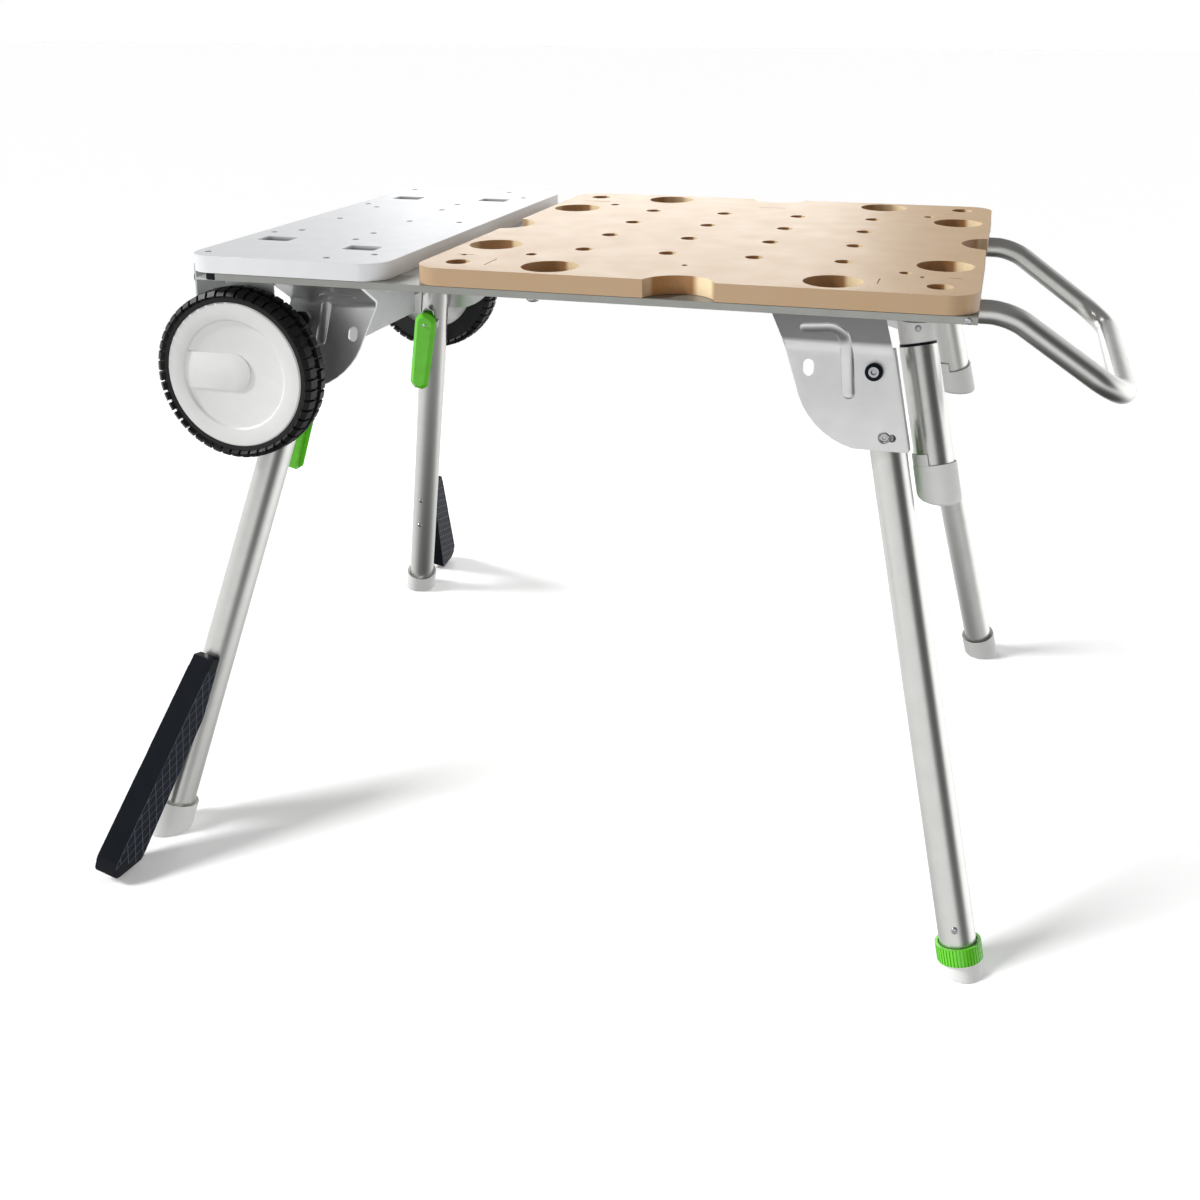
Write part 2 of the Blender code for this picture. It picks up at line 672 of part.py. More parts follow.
def add_wheel_carrier(root):
    """Left cross rail: a lip at the end and a deep wall between the left legs."""
    half = SHEET / 2
    line = [(CARRIER_LEFT_X + half, RAIL_TOP - CARRIER_LIP), (CARRIER_LEFT_X + half, RAIL_TOP - half),
            (CARRIER_RIGHT_X, RAIL_TOP - half)]
    mesh = prism("left_cross_rail", [strip(line)], -CROSS_END_Y, CROSS_END_Y)
    carrier = add_part(mesh, GREY_PAINT, root, AXES_XZ)
    wall = box("carrier_wall", (CARRIER_RIGHT_X - SHEET, -CARRIER_WALL_Y, RAIL_TOP - CARRIER_WALL),
               (CARRIER_RIGHT_X, CARRIER_WALL_Y, RAIL_TOP - half))
    combine(carrier, add_cutter(wall, root), "UNION")
    edge = BUFFER_RADIUS * 0.2
    profile = [(0, BUFFER_THICK), (BUFFER_RADIUS - edge, BUFFER_THICK),
               (BUFFER_RADIUS, BUFFER_THICK - edge), (BUFFER_RADIUS, 0), (0, 0)]
    face_left = Matrix.Rotation(radians(-90), 4, "Y")
    for side in (-1, 1):
        mesh = turned(SIDE_NAMES[side] + "_end_buffer", profile, HOLE_SIDES)
        place = at(CARRIER_LEFT_X - GAP, side * BUFFER_Y, RAIL_TOP - CARRIER_LIP / 2)
        add_part(mesh, BLACK_PLASTIC, root, place @ face_left)


def bend_path(corners, steps=6):
    """Straight runs with an arc at each inner corner (point, bend radius)."""
    path = [corners[0][0]]
    for (before, _), (here, radius), (after, _) in zip(corners, corners[1:], corners[2:]):
        back = (before - here).normalized()
        ahead = (after - here).normalized()
        half = back.angle(ahead) / 2
        middle = here + (back + ahead).normalized() * (radius / sin(half))
        start = here + back * (radius / tan(half)) - middle
        axis = back.cross(ahead)
        for k in range(steps + 1):
            turn = Matrix.Rotation(-(pi - 2 * half) * k / steps, 3, axis)
            path.append(middle + turn @ start)
    path.append(corners[-1][0])
    return path


def add_handle(root):
    arm_z = handle_axis_z()
    grip_z = BOARD_BOTTOM - GRIP_DROP
    half = [(Vector((HANDLE_INNER_X, HANDLE_ARM_Y, arm_z)), 0),
            (Vector((HANDLE_BEND_X, HANDLE_ARM_Y, arm_z)), HANDLE_BEND),
            (Vector((GRIP_X, GRIP_Y, grip_z)), GRIP_BEND)]
    other = [(Vector((p.x, -p.y, p.z)), radius) for p, radius in half[::-1]]
    add_part(tube("handle", bend_path(half + other), HANDLE_RADIUS), TUBE_PAINT, root)


# Rest stubs

def stub_top():
    return RAIL_TOP - CROSS_HEIGHT - GAP


def stub_frame(side):
    """Origin at the floor end, Z up the stub."""
    top = Vector((STUB_TOP_X, side * STUB_Y, stub_top()))
    foot = Vector((STUB_FOOT_X, side * (STUB_Y + STUB_LEAN), REST_Z))
    up = (top - foot).normalized()
    along = Vector((0, 1, 0)).cross(up).normalized()
    return frame_of(along, up.cross(along), up, foot), (top - foot).length


def cup(name, outer, inner, top, floor, bottom):
    """Cup round a tube's end: rim height, bore floor height, outside bottom."""
    edge = (outer - inner) / 2
    return turned(name, [(0, floor), (inner, floor), (inner, top), (outer - edge, top),
                         (outer, top - edge), (outer, bottom), (0, bottom)])


def add_stubs(root):
    level = add_leveller(root, "rest_level", REST_Z)
    ceiling = add_leveller(root, "collar_level", stub_top(), 1)
    for side in (-1, 1):
        name = SIDE_NAMES[side]
        frame, length = stub_frame(side)
        lip = STUB_CAP_RADIUS * tan(frame.col[2].xyz.angle(Vector((0, 0, 1))))
        bore = STUB_RADIUS - STUB_WALL
        low = STUB_SOLE + lip
        shoulder = length - COLLAR_HEIGHT
        high = shoulder - GAP
        wall = [(STUB_RADIUS, high), (STUB_RADIUS, low), (bore, low), (bore, high)]
        add_part(turned(name + "_stub_tube", wall, closed=True), TUBE_PAINT, root, frame)
        mesh = cup(name + "_stub_cap", STUB_CAP_RADIUS, STUB_RADIUS + GAP, STUB_CAP_HEIGHT,
                   low - GAP, -lip * 2)
        combine(add_part(mesh, GREY_PLASTIC, root, frame), level)
        end = length + 2 * lip
        spigot = bore - GAP
        tail = shoulder - COLLAR_SPIGOT
        plug = [(0, end), (COLLAR_RADIUS, end), (COLLAR_RADIUS, shoulder), (spigot, shoulder),
                (spigot, tail), (0, tail)]
        combine(add_part(turned(name + "_stub_collar", plug), GREY_PLASTIC, root, frame), ceiling)


# Gussets

def gusset_profile(end):
    """Side view of a gusset's sheet: distance out from the leg, height along the plate."""
    pivot = leg_pivot(end, 1)
    out = pivot_axis(end, 1)
    plate = PLATE_INNER + SHEET / 2
    tab_z = RAIL_TOP - SHEET - GAP - SHEET / 2
    bend_y = RAIL_INNER_Y + (RAIL_WIDTH - TOP_TAB) - SHEET * 2

    def local(y, z):
        return (out.y * (y - pivot.y) + out.z * (z - pivot.z),
                out.y * (z - pivot.z) - out.z * (y - pivot.y))

    tab_end = bend_y + TOP_TAB
    return strip([(plate, -2 * GUSSET_RADIUS), (plate, GUSSET_BEND), local(bend_y, tab_z),
                  local(tab_end, tab_z)])


def return_edge(end, offset, height):
    """Position along the stand of a line beside the leg, at a height from the pivot."""
    lean = leg_lean(end)
    return offset / cos(lean) - height * tan(lean)


def gusset_outline(end):
    """Front view of a gusset, towards the foot as +X, pivot at the origin."""
    edge = LEG_RADIUS + PLATE_GAP + SHEET / 2
    lowest = -GUSSET_FOOT
    start = degrees(asin(lowest / GUSSET_RADIUS))
    turn_at = arc(0, 0, GUSSET_RADIUS, -180 - start, GUSSET_SLOPE - 360, 8)
    high = PIVOT_DROP + GUSSET_BEND
    corner_u = -GUSSET_REACH
    return ([(corner_u, high), (return_edge(end, edge, high), high),
             (return_edge(end, edge, lowest), lowest)] + turn_at + [(corner_u, GUSSET_CORNER)])


def lock_places(end):
    """Lock pin in use and folded, towards the foot as +X."""
    lean = leg_lean(end)
    slope = fold_slope(end)
    return ((LOCK_REACH * sin(lean), -LOCK_REACH * cos(lean)),
            (-LOCK_REACH * cos(slope), -LOCK_REACH * sin(slope)))


def flipped(points, sign):
    return [(sign * x, y) for x, y in points]


def add_gusset(root, end, side):
    name = "%s_%s_gusset" % (SIDE_NAMES[side], END_NAMES[end])
    sign = end * side
    frame = gusset_frame(end, side)
    reach = GUSSET_REACH * 2
    gusset = add_part(prism(name, [gusset_profile(end)], -reach, reach), GREY_PAINT, root, frame @ AXES_YZ)
    front = frame @ AXES_XZ
    mesh = prism(name + "_outline", [flipped(gusset_outline(end), sign)], -reach, reach)
    combine(gusset, add_cutter(mesh, root, front), "INTERSECT")
    inner = LEG_RADIUS + PLATE_GAP
    outer = inner + SHEET
    ends = (2 * GAP - GUSSET_FOOT, GUSSET_BEND - 2 * GAP)
    flange = [(return_edge(end, inner, ends[0]), ends[0]), (return_edge(end, outer, ends[0]), ends[0]),
              (return_edge(end, outer, ends[1]), ends[1]), (return_edge(end, inner, ends[1]), ends[1])]
    mesh = prism(name + "_return", [flipped(flange, sign)], GAP - PLATE_OUTER, RETURN_DEPTH - PLATE_OUTER)
    combine(gusset, add_cutter(mesh, root, front), "UNION")
    in_use, folded = flipped(lock_places(end), sign)
    hole = LOCK_RADIUS + 2 * GAP
    slot_half = LOCK_SLOT / 2
    slot = (arc(folded[0], folded[1] + slot_half, hole, 0, 180, 8)
            + arc(folded[0], folded[1] - slot_half, hole, 180, 360, 8))
    for label, outline in (("pivot", circle(0, 0, BOLT_RADIUS + GAP, FEW_SIDES)),
                           ("lock", circle(*in_use, hole, FEW_SIDES)), ("folded", slot)):
        mesh = prism("%s_%s_hole" % (name, label), [outline], -PLATE_OUTER - SHEET, -PLATE_INNER + SHEET)
        combine(gusset, add_cutter(mesh, root, front))
    add_pivot_bolt(root, end, side, frame)


def add_pivot_bolt(root, end, side, frame):
    face = PLATE_OUTER + GAP
    edge = BOLT_HEAD / 5
    nut = -LEG_RADIUS - SHEET
    washer = face + WASHER_THICK
    head = washer + BOLT_HEAD
    profile = [(0, head), (BOLT_HEAD - edge, head), (BOLT_HEAD, head - edge), (BOLT_HEAD, washer),
               (WASHER_RADIUS, washer), (WASHER_RADIUS, face), (BOLT_RADIUS, face),
               (BOLT_RADIUS, nut), (NUT_RADIUS, nut), (NUT_RADIUS, nut - NUT_LENGTH), (0, nut - NUT_LENGTH)]
    name = "%s_%s_pivot_bolt" % (SIDE_NAMES[side], END_NAMES[end])
    add_part(turned(name, profile, FEW_SIDES), ZINC, root, frame @ AXES_ZX)


# Legs

def has_level_foot(end, side):
    return end > 0 and side < 0


def tube_end(end, side):
    """Distance from the pivot to the lower end of a leg tube."""
    if has_level_foot(end, side):
        return leg_length(end) - LEVEL_FOOT_HEIGHT - RING_HEIGHT - GAP
    return leg_length(end) - FOOT_SOLE


def ear_outline():
    """Lug for the lever's rivet: out along the bolt and up the leg, from the rivet."""
    base = LEVER_STAND + LEG_WALL * 2.2
    return arc(0, 0, EAR_RADIUS, 90, 270, 6) + [(base, -EAR_RADIUS), (base, EAR_RADIUS)]


def lever_frame():
    return at(0, -LEG_RADIUS - LEVER_STAND, -LEVER_REACH)


def add_leg_tube(pivot, name, end, side):
    bore = LEG_RADIUS - LEG_WALL
    low = -tube_end(end, side)
    profile = arc(0, 0, LEG_RADIUS, 90, 0, 5) + [(LEG_RADIUS, low), (bore, low)] + arc(0, 0, bore, 0, 90, 4)
    leg = add_part(turned(name + "_leg_tube", profile), TUBE_PAINT, pivot)
    ear_start = LEVER_WIDTH / 2 + GAP
    for hand in (-1, 1):
        edges = sorted((hand * ear_start, hand * (ear_start + EAR_THICK)))
        mesh = prism("%s_ear_%d" % (name, hand), [ear_outline()], *edges)
        combine(leg, add_cutter(mesh, pivot, lever_frame() @ AXES_YZ), "UNION")
    reach = LEG_RADIUS * 2
    holes = (("bolt", BOLT_RADIUS, AXES_ZX),
             ("lock", LOCK_RADIUS, at(0, 0, -LOCK_REACH) @ AXES_ZX),
             ("rivet", RIVET_RADIUS, lever_frame() @ AXES_YZ))
    for label, radius, place in holes:
        mesh = rod("%s_%s_hole" % (name, label), radius + GAP, -reach, reach)
        combine(leg, add_cutter(mesh, pivot, place))


def add_foot(pivot, name, end, side, floor):
    length = leg_length(end)
    below = -length - FOOT_RADIUS / 2
    if not has_level_foot(end, side):
        mesh = cup(name + "_foot", FOOT_RADIUS, LEG_RADIUS + GAP, FOOT_HEIGHT - length,
                   -tube_end(end, side) - GAP, below)
        combine(add_part(mesh, GREY_PLASTIC, pivot), floor)
        return
    ring_low = LEVEL_FOOT_HEIGHT - length
    ring_top = ring_low + RING_HEIGHT
    bore = STEM_RADIUS + GAP
    spigot = LEG_RADIUS - LEG_WALL - GAP
    ring = [(spigot, ring_top + SPIGOT_LENGTH), (spigot, ring_top), (RING_RADIUS, ring_top),
            (RING_RADIUS, ring_low), (bore, ring_low), (bore, ring_top + SPIGOT_LENGTH)]
    add_part(turned("levelling_ring", ring, closed=True), GREEN_PLASTIC, pivot)
    pad_top = ring_low - GAP
    pad = [(0, pad_top + STEM_LENGTH), (STEM_RADIUS, pad_top + STEM_LENGTH), (STEM_RADIUS, pad_top),
           (LEVEL_FOOT_RADIUS, pad_top), (LEVEL_FOOT_RADIUS, below), (0, below)]
    combine(add_part(turned("levelling_foot", pad), GREY_PLASTIC, pivot), floor)


def lever_outline():
    """Side view of a latch lever from its rivet: +X towards the leg, +Y up."""
    half = LEVER_THICK / 2
    tongue = LEVER_STAND - TONGUE_GAP
    tongue_back = tongue - TONGUE_THICK
    tongue_top = LEVER_REACH - LOCK_REACH - LOCK_RADIUS - TONGUE_CLEAR
    shoulder = EAR_RADIUS + LEVER_ROUND
    corners = [(tongue, tongue_top, 0), (tongue_back, tongue_top, 0), (tongue_back, shoulder, 0),
               (-EAR_RADIUS, shoulder, LEVER_ROUND),
               (-LEVER_SPREAD - half, half - LEVER_LENGTH, LEVER_ROUND),
               (-LEVER_SPREAD + half, -LEVER_LENGTH, LEVER_ROUND),
               (LEVER_THICK - EAR_RADIUS / 3, -shoulder * 2, LEVER_ROUND),
               (tongue, -shoulder / 2, LEVER_ROUND)]
    return rounded(corners, 3)


def add_latch(pivot, name):
    loops = [lever_outline(), circle(0, 0, RIVET_RADIUS + GAP, FEW_SIDES)]
    mesh = prism(name + "_latch_lever", loops, -LEVER_WIDTH / 2, LEVER_WIDTH / 2)
    add_part(mesh, GREEN_PLASTIC, pivot, lever_frame() @ AXES_YZ)
    end = LEVER_WIDTH / 2 + 2 * GAP + EAR_THICK
    head = end + RIVET_RADIUS / 2
    cap = RIVET_HEAD
    profile = [(0, head), (cap, head), (cap, end), (RIVET_RADIUS, end), (RIVET_RADIUS, -end), (cap, -end),
               (cap, -head), (0, -head)]
    add_part(turned(name + "_latch_rivet", profile, TINY_SIDES), ZINC, pivot, lever_frame() @ AXES_YZ)
    tip = PLATE_INNER - GAP
    neck = -LEG_RADIUS - LEVER_STAND / 2
    edge = LOCK_RADIUS / 5
    back = neck - LOCK_HEAD_THICK
    profile = [(0, tip), (LOCK_RADIUS - edge, tip), (LOCK_RADIUS, tip - edge), (LOCK_RADIUS, neck),
               (LOCK_HEAD, neck), (LOCK_HEAD, back), (0, back)]
    mesh = turned(name + "_lock_pin", profile, FEW_SIDES)
    add_part(mesh, ZINC, pivot, at(0, 0, -LOCK_REACH) @ AXES_ZX)


def add_pedal(pivot, name):
    """Foot pedal on the outer side of a left leg, flaring out to the floor."""
    seat = LEG_RADIUS + GAP
    heel = PEDAL_OUT - PEDAL_DEPTH
    corners = [(seat, -PEDAL_TOP, PEDAL_EDGE), (seat, -PEDAL_LEAVE, PEDAL_THROAT),
               (heel, PEDAL_RISE - PEDAL_TIP, PEDAL_HEEL_ROUND), (PEDAL_OUT, -PEDAL_TIP, PEDAL_ROUND),
               (PEDAL_OUT, PEDAL_NOSE - PEDAL_TIP, PEDAL_ROUND),
               (seat + PEDAL_NECK, -PEDAL_TOP, PEDAL_HEEL_ROUND)]
    mesh = prism(name + "_pedal", [rounded(corners)], -PEDAL_WIDTH / 2, PEDAL_WIDTH / 2)
    pedal = add_part(mesh, BLACK_PLASTIC, pivot, AXES_YZ)
    bevel = pedal.modifiers.new("edges", "BEVEL")
    bevel.width = PEDAL_EDGE
    bevel.segments = 1
    bevel.limit_method = "ANGLE"
    bevel.angle_limit = radians(60)


def add_leg(root, end, side, floor):
    name = "%s_%s" % (SIDE_NAMES[side], END_NAMES[end])
    pivot = add_empty(name + "_pivot", root, leg_frame(end, side))
    add_leg_tube(pivot, name, end, side)
    add_foot(pivot, name, end, side, floor)
    add_latch(pivot, name)
    if end < 0:
        add_pedal(pivot, name)


# Wheels

def add_axle(root):
    reach = WHEEL_Y + barrel_half() - GAP
    mesh = rod("axle", AXLE_RADIUS, -reach, reach, HOLE_SIDES)
    add_part(mesh, ZINC, root, at(WHEEL_X, 0, AXLE_Z) @ AXES_ZX)


def barrel_half():
    """Half the length of a hub's barrel: the cover lies on its end inside the tyre."""
    return WHEEL_WIDTH / 2 - COVER_THICK + GAP


def add_bracket(root, side):
    name = SIDE_NAMES[side] + "_wheel_bracket"
    tab_z = RAIL_BOTTOM - GAP - SHEET / 2
    line = [(side * BRACKET_Y, AXLE_Z - WHEEL_RADIUS), (side * BRACKET_Y, tab_z),
            (side * (BRACKET_Y + BRACKET_TAB), tab_z)]
    mesh = prism(name, [strip(line)], BRACKET_LEFT_X, BRACKET_RIGHT_X)
    bracket = add_part(mesh, GREY_PAINT, root, AXES_YZ)
    outline = (arc(WHEEL_X, AXLE_Z, BRACKET_ROUND, 180, 360, 10)
               + [(BRACKET_RIGHT_X, RAIL_BOTTOM - CARRIER_LIP), (BRACKET_RIGHT_X, TOP_HEIGHT),
                  (BRACKET_LEFT_X, TOP_HEIGHT), (BRACKET_LEFT_X, RAIL_BOTTOM - CARRIER_LIP)])
    mesh = prism(name + "_outline", [outline], -BOARD_WIDTH, BOARD_WIDTH)
    combine(bracket, add_cutter(mesh, root, AXES_XZ), "INTERSECT")
    hole = rod(name + "_hole", AXLE_RADIUS + GAP, -BOARD_WIDTH, BOARD_WIDTH, HOLE_SIDES)
    combine(bracket, add_cutter(hole, root, at(WHEEL_X, 0, AXLE_Z) @ AXES_ZX))


def add_wheel(root, side):
    name = SIDE_NAMES[side]
    frame = at(WHEEL_X, side * WHEEL_Y, AXLE_Z) @ Matrix.Rotation(radians(-90 * side), 4, "X")
    half = WHEEL_WIDTH / 2
    barrel = barrel_half()
    shoulder = WHEEL_RADIUS - RIM_RADIUS
    tread = half * TREAD_SHARE
    bulge = RIM_RADIUS + shoulder * TYRE_ROUND_OUT
    crown = WHEEL_RADIUS - shoulder * TYRE_ROUND_IN
    edge = half * TYRE_SHOULDER
    wall_inner = -barrel - GAP
    tyre = [(RIM_RADIUS, barrel), (RIM_RADIUS, half - TYRE_LIP), (bulge, half), (crown, edge),
            (WHEEL_RADIUS, tread), (WHEEL_RADIUS, -tread), (crown, -edge), (bulge, -half),
            (BLACK_WALL_RADIUS, -half), (BLACK_WALL_RADIUS, wall_inner),
            (BARREL_RADIUS + GAP, wall_inner), (BARREL_RADIUS + GAP, barrel)]
    add_part(turned(name + "_tyre", tyre, WHEEL_SIDES, closed=True), TYRE_RUBBER, root, frame)
    bore = AXLE_RADIUS + GAP
    inside = BARREL_RADIUS - BARREL_WALL
    boss_end = BRACKET_Y + SHEET / 2 + GAP - WHEEL_Y
    hub = [(BARREL_RADIUS, barrel), (BARREL_RADIUS, -barrel), (inside, -barrel), (inside, -HUB_WEB),
           (BOSS_RADIUS, -HUB_WEB), (BOSS_RADIUS, boss_end), (bore, boss_end), (bore, barrel),
           (BOSS_RADIUS, barrel), (BOSS_RADIUS, HUB_WEB), (inside, HUB_WEB), (inside, barrel)]
    add_part(turned(name + "_hub", hub, HUB_SIDES, closed=True), GREY_PLASTIC, root, frame)
    under = barrel + GAP
    face = under + COVER_THICK
    rim = RIM_RADIUS - GAP
    groove = GROOVE_RADIUS - GROOVE_WIDTH / 2
    groove_out = GROOVE_RADIUS + GROOVE_WIDTH / 2
    cover = [(0, face), (groove - GROOVE_DEPTH, face), (groove, face - GROOVE_DEPTH),
             (groove_out, face - GROOVE_DEPTH), (groove_out + GROOVE_DEPTH, face), (rim - COVER_EDGE, face),
             (rim, face - COVER_EDGE), (rim, under), (0, under)]
    add_part(turned(name + "_wheel_cover", cover, WHEEL_SIDES), GREY_PLASTIC, root, frame)


def middle_x():
    """Middle of the whole stand along X: from the left feet to the grip."""
    up = (leg_pivot(-1, 1) - leg_foot(-1, 1)).normalized()
    foot_reach = FOOT_RADIUS * sqrt(1 - up.y ** 2) / up.z
    return (GRIP_X + HANDLE_RADIUS + LEFT_FOOT_X - foot_reach) / 2


def build():
    root = add_empty("stand_origin", None, at(-middle_x(), 0, 0))
    add_work_board(root)
    add_side_board(root)
    add_rails(root)
    add_cross_rails(root)
    add_wheel_carrier(root)
    add_handle(root)
    add_stubs(root)
    add_axle(root)
    floor = add_leveller(root, "floor_level", 0)
    for side in (-1, 1):
        add_bracket(root, side)
        add_wheel(root, side)
        for end in (-1, 1):
            add_gusset(root, end, side)
            add_leg(root, end, side, floor)


build()
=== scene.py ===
# %% [markdown]
# # A folding saw stand
# The CAD part gives every piece its place, its size and its joint. This notebook gives the pieces
# their looks: rounded edges, tread, ribs, screws and finishes. Each piece rides on a CAD body, so it
# moves with that body's joint.

import json
from math import pi, radians, tan

import bpy
from mathutils import Matrix, Vector

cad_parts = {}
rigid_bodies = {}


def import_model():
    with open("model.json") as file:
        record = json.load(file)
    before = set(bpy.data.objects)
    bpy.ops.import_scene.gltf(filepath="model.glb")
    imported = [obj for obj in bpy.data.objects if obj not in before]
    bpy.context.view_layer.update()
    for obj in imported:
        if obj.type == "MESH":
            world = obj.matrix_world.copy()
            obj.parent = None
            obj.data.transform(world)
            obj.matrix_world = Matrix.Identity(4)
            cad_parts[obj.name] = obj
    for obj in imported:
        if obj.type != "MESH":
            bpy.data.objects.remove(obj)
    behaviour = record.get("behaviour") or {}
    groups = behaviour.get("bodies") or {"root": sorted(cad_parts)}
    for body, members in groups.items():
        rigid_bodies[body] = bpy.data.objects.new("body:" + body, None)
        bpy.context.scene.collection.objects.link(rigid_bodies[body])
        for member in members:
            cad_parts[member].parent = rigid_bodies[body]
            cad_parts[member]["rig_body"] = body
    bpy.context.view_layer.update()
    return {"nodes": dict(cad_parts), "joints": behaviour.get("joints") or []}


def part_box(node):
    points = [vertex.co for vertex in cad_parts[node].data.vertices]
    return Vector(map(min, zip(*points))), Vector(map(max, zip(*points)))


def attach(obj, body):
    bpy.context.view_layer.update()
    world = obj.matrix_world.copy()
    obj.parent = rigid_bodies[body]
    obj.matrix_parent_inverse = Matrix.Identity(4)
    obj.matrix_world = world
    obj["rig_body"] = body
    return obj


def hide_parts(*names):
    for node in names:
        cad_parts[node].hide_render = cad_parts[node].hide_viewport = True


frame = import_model()
JOINTS = {joint["name"]: joint for joint in frame["joints"]}
LEGS = ("front_right", "rear_right", "front_left", "rear_left")
SIDES = ("front", "rear")
low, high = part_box("work_board")
BOARD_X = (low.x + high.x) / 2
BOARD_END = high.x
TOP = high.z
print("loaded", len(frame["nodes"]), "pieces, work board centred at x =", round(BOARD_X, 4))

# %% [markdown]
# ## Finishes
# A finish is a small tree of shader nodes. Colours are picked as sRGB codes, as in a paint program,
# and turned into linear light. Patterns use object coordinates in metres, so a noise scale of 1000
# gives grains of about a millimetre.

# %% Helpers for finishes
MATERIALS = {}


def linear(code):
    """An sRGB colour code as linear RGBA."""
    parts = [int(code[i:i + 2], 16) / 255 for i in (1, 3, 5)]
    return [c / 12.92 if c <= 0.04045 else ((c + 0.055) / 1.055) ** 2.4 for c in parts] + [1.0]


def add(tree, kind, inputs, **settings):
    """Add a node, set its options, link or set its inputs by name or number, and give its outputs."""
    node = tree.nodes.new("ShaderNode" + kind)
    for name, value in settings.items():
        setattr(node, name, value)
    for key, value in inputs.items():
        if isinstance(value, bpy.types.NodeSocket):
            tree.links.new(value, node.inputs[key])
        else:
            node.inputs[key].default_value = value
    return node.outputs


def start_finish(slot, name):
    """An empty material for one slot, with its node tree and its coordinates."""
    material = bpy.data.materials.new(name)
    material.use_nodes = True
    material.node_tree.nodes.clear()
    MATERIALS[slot] = material
    return material.node_tree, add(material.node_tree, "TexCoord", {})


def end_finish(tree, surface):
    """Close a finish with one shader that takes these inputs."""
    shader = add(tree, "BsdfPrincipled", surface)
    add(tree, "OutputMaterial", {"Surface": shader["BSDF"]})


# %% [markdown]
# The work board is medium-density fibreboard. Its faces are sanded and pale. Its routed edges drink
# more light and look browner. In the holes, light and shade are painted into the colour: walls that
# face left are painted a pale cream as if lit, and the other walls, with the underside, are painted
# dark brown as shade. The object's own normal tells faces from edges and one side of a hole from the
# other, and the distance from the middle tells the outer edges from the holes. Fibres are about a
# millimetre long, and the sheet is a little cloudy over a few centimetres.

# %% Sanded fibreboard: where the holes are, and where their walls get painted light and shade
HOLES_X = (0.275, 0.281)    # from the last hole to the outer edge, seen from the middle
HOLES_Y = (0.271, 0.279)
tree, place = start_finish("mdf", "sanded_fibreboard")
normal = add(tree, "SeparateXYZ", {"Vector": place["Normal"]})
is_face = add(tree, "MapRange", {"Value": normal["Z"], "From Min": 0.4, "From Max": 0.8})["Result"]
from_middle = add(tree, "VectorMath", {0: place["Object"], 1: (BOARD_X, 0, 0)},
                  operation="SUBTRACT")["Vector"]
from_middle = add(tree, "VectorMath", {0: from_middle}, operation="ABSOLUTE")["Vector"]
spot = add(tree, "SeparateXYZ", {"Vector": from_middle})
inside_x = add(tree, "MapRange", {"Value": spot["X"], "From Min": HOLES_X[0], "From Max": HOLES_X[1],
                                  "To Min": 1.0, "To Max": 0.0})["Result"]
inside_y = add(tree, "MapRange", {"Value": spot["Y"], "From Min": HOLES_Y[0], "From Max": HOLES_Y[1],
                                  "To Min": 1.0, "To Max": 0.0})["Result"]
in_hole = add(tree, "Math", {0: inside_x, 1: inside_y}, operation="MULTIPLY")["Value"]
# Painted shade: in the holes and on the underside, every face that does not face left gets dark brown
painted_hole_shade = add(tree, "MapRange", {"Value": normal["X"], "From Min": -0.38, "From Max": -0.20})["Result"]
painted_hole_shade = add(tree, "Math", {0: in_hole, 1: painted_hole_shade}, operation="MULTIPLY")["Value"]
print("fibreboard so far:", len(tree.nodes), "nodes")

# %% Sanded fibreboard: its colours and its grain
FIBRES = 700.0          # to the metre, so about 1.4 mm each
PATCHES = 30.0          # about 33 mm
fibres = add(tree, "TexNoise", {"Vector": place["Object"], "Scale": FIBRES, "Detail": 4.0})["Fac"]
clouds = add(tree, "TexNoise", {"Vector": place["Object"], "Scale": PATCHES})["Fac"]
# Outer edges are brown. In the holes, a pale cream paints the light on left-facing walls, and the painted
# shade covers the rest
edge_and_painted_lit_wall = add(tree, "Mix", {0: in_hole, 6: linear("#ad9376"), 7: linear("#f4dfb8")}, data_type="RGBA")[2]
edge = add(tree, "Mix", {0: painted_hole_shade, 6: edge_and_painted_lit_wall, 7: linear("#86562a")}, data_type="RGBA")[2]
pale = add(tree, "Mix", {0: is_face, 6: edge, 7: linear("#c4a783")}, data_type="RGBA")[2]
fleck = add(tree, "Math", {0: fibres, 1: clouds}, operation="MULTIPLY")["Value"]
colour = add(tree, "Mix", {0: fleck, 6: pale, 7: linear("#b08d63")}, data_type="RGBA")[2]
rough = add(tree, "MapRange", {"Value": clouds, "To Min": 0.42, "To Max": 0.54})["Result"]
bump = add(tree, "Bump", {"Strength": 0.25, "Distance": 0.0002, "Height": fibres})["Normal"]
end_finish(tree, {"Base Color": colour, "Roughness": rough, "Normal": bump})
print("fibreboard ready")

# %% [markdown]
# The side board is faced with a pale laminate: a printed paper under a hard resin skin, pressed
# between steel plates that leave a very slight texture. Holes and pockets are routed through it. Below
# the skin's depth, and only away from the board's outer edges, the colour is a darker grey, which is
# painted shade in the holes and pockets and on the underside.

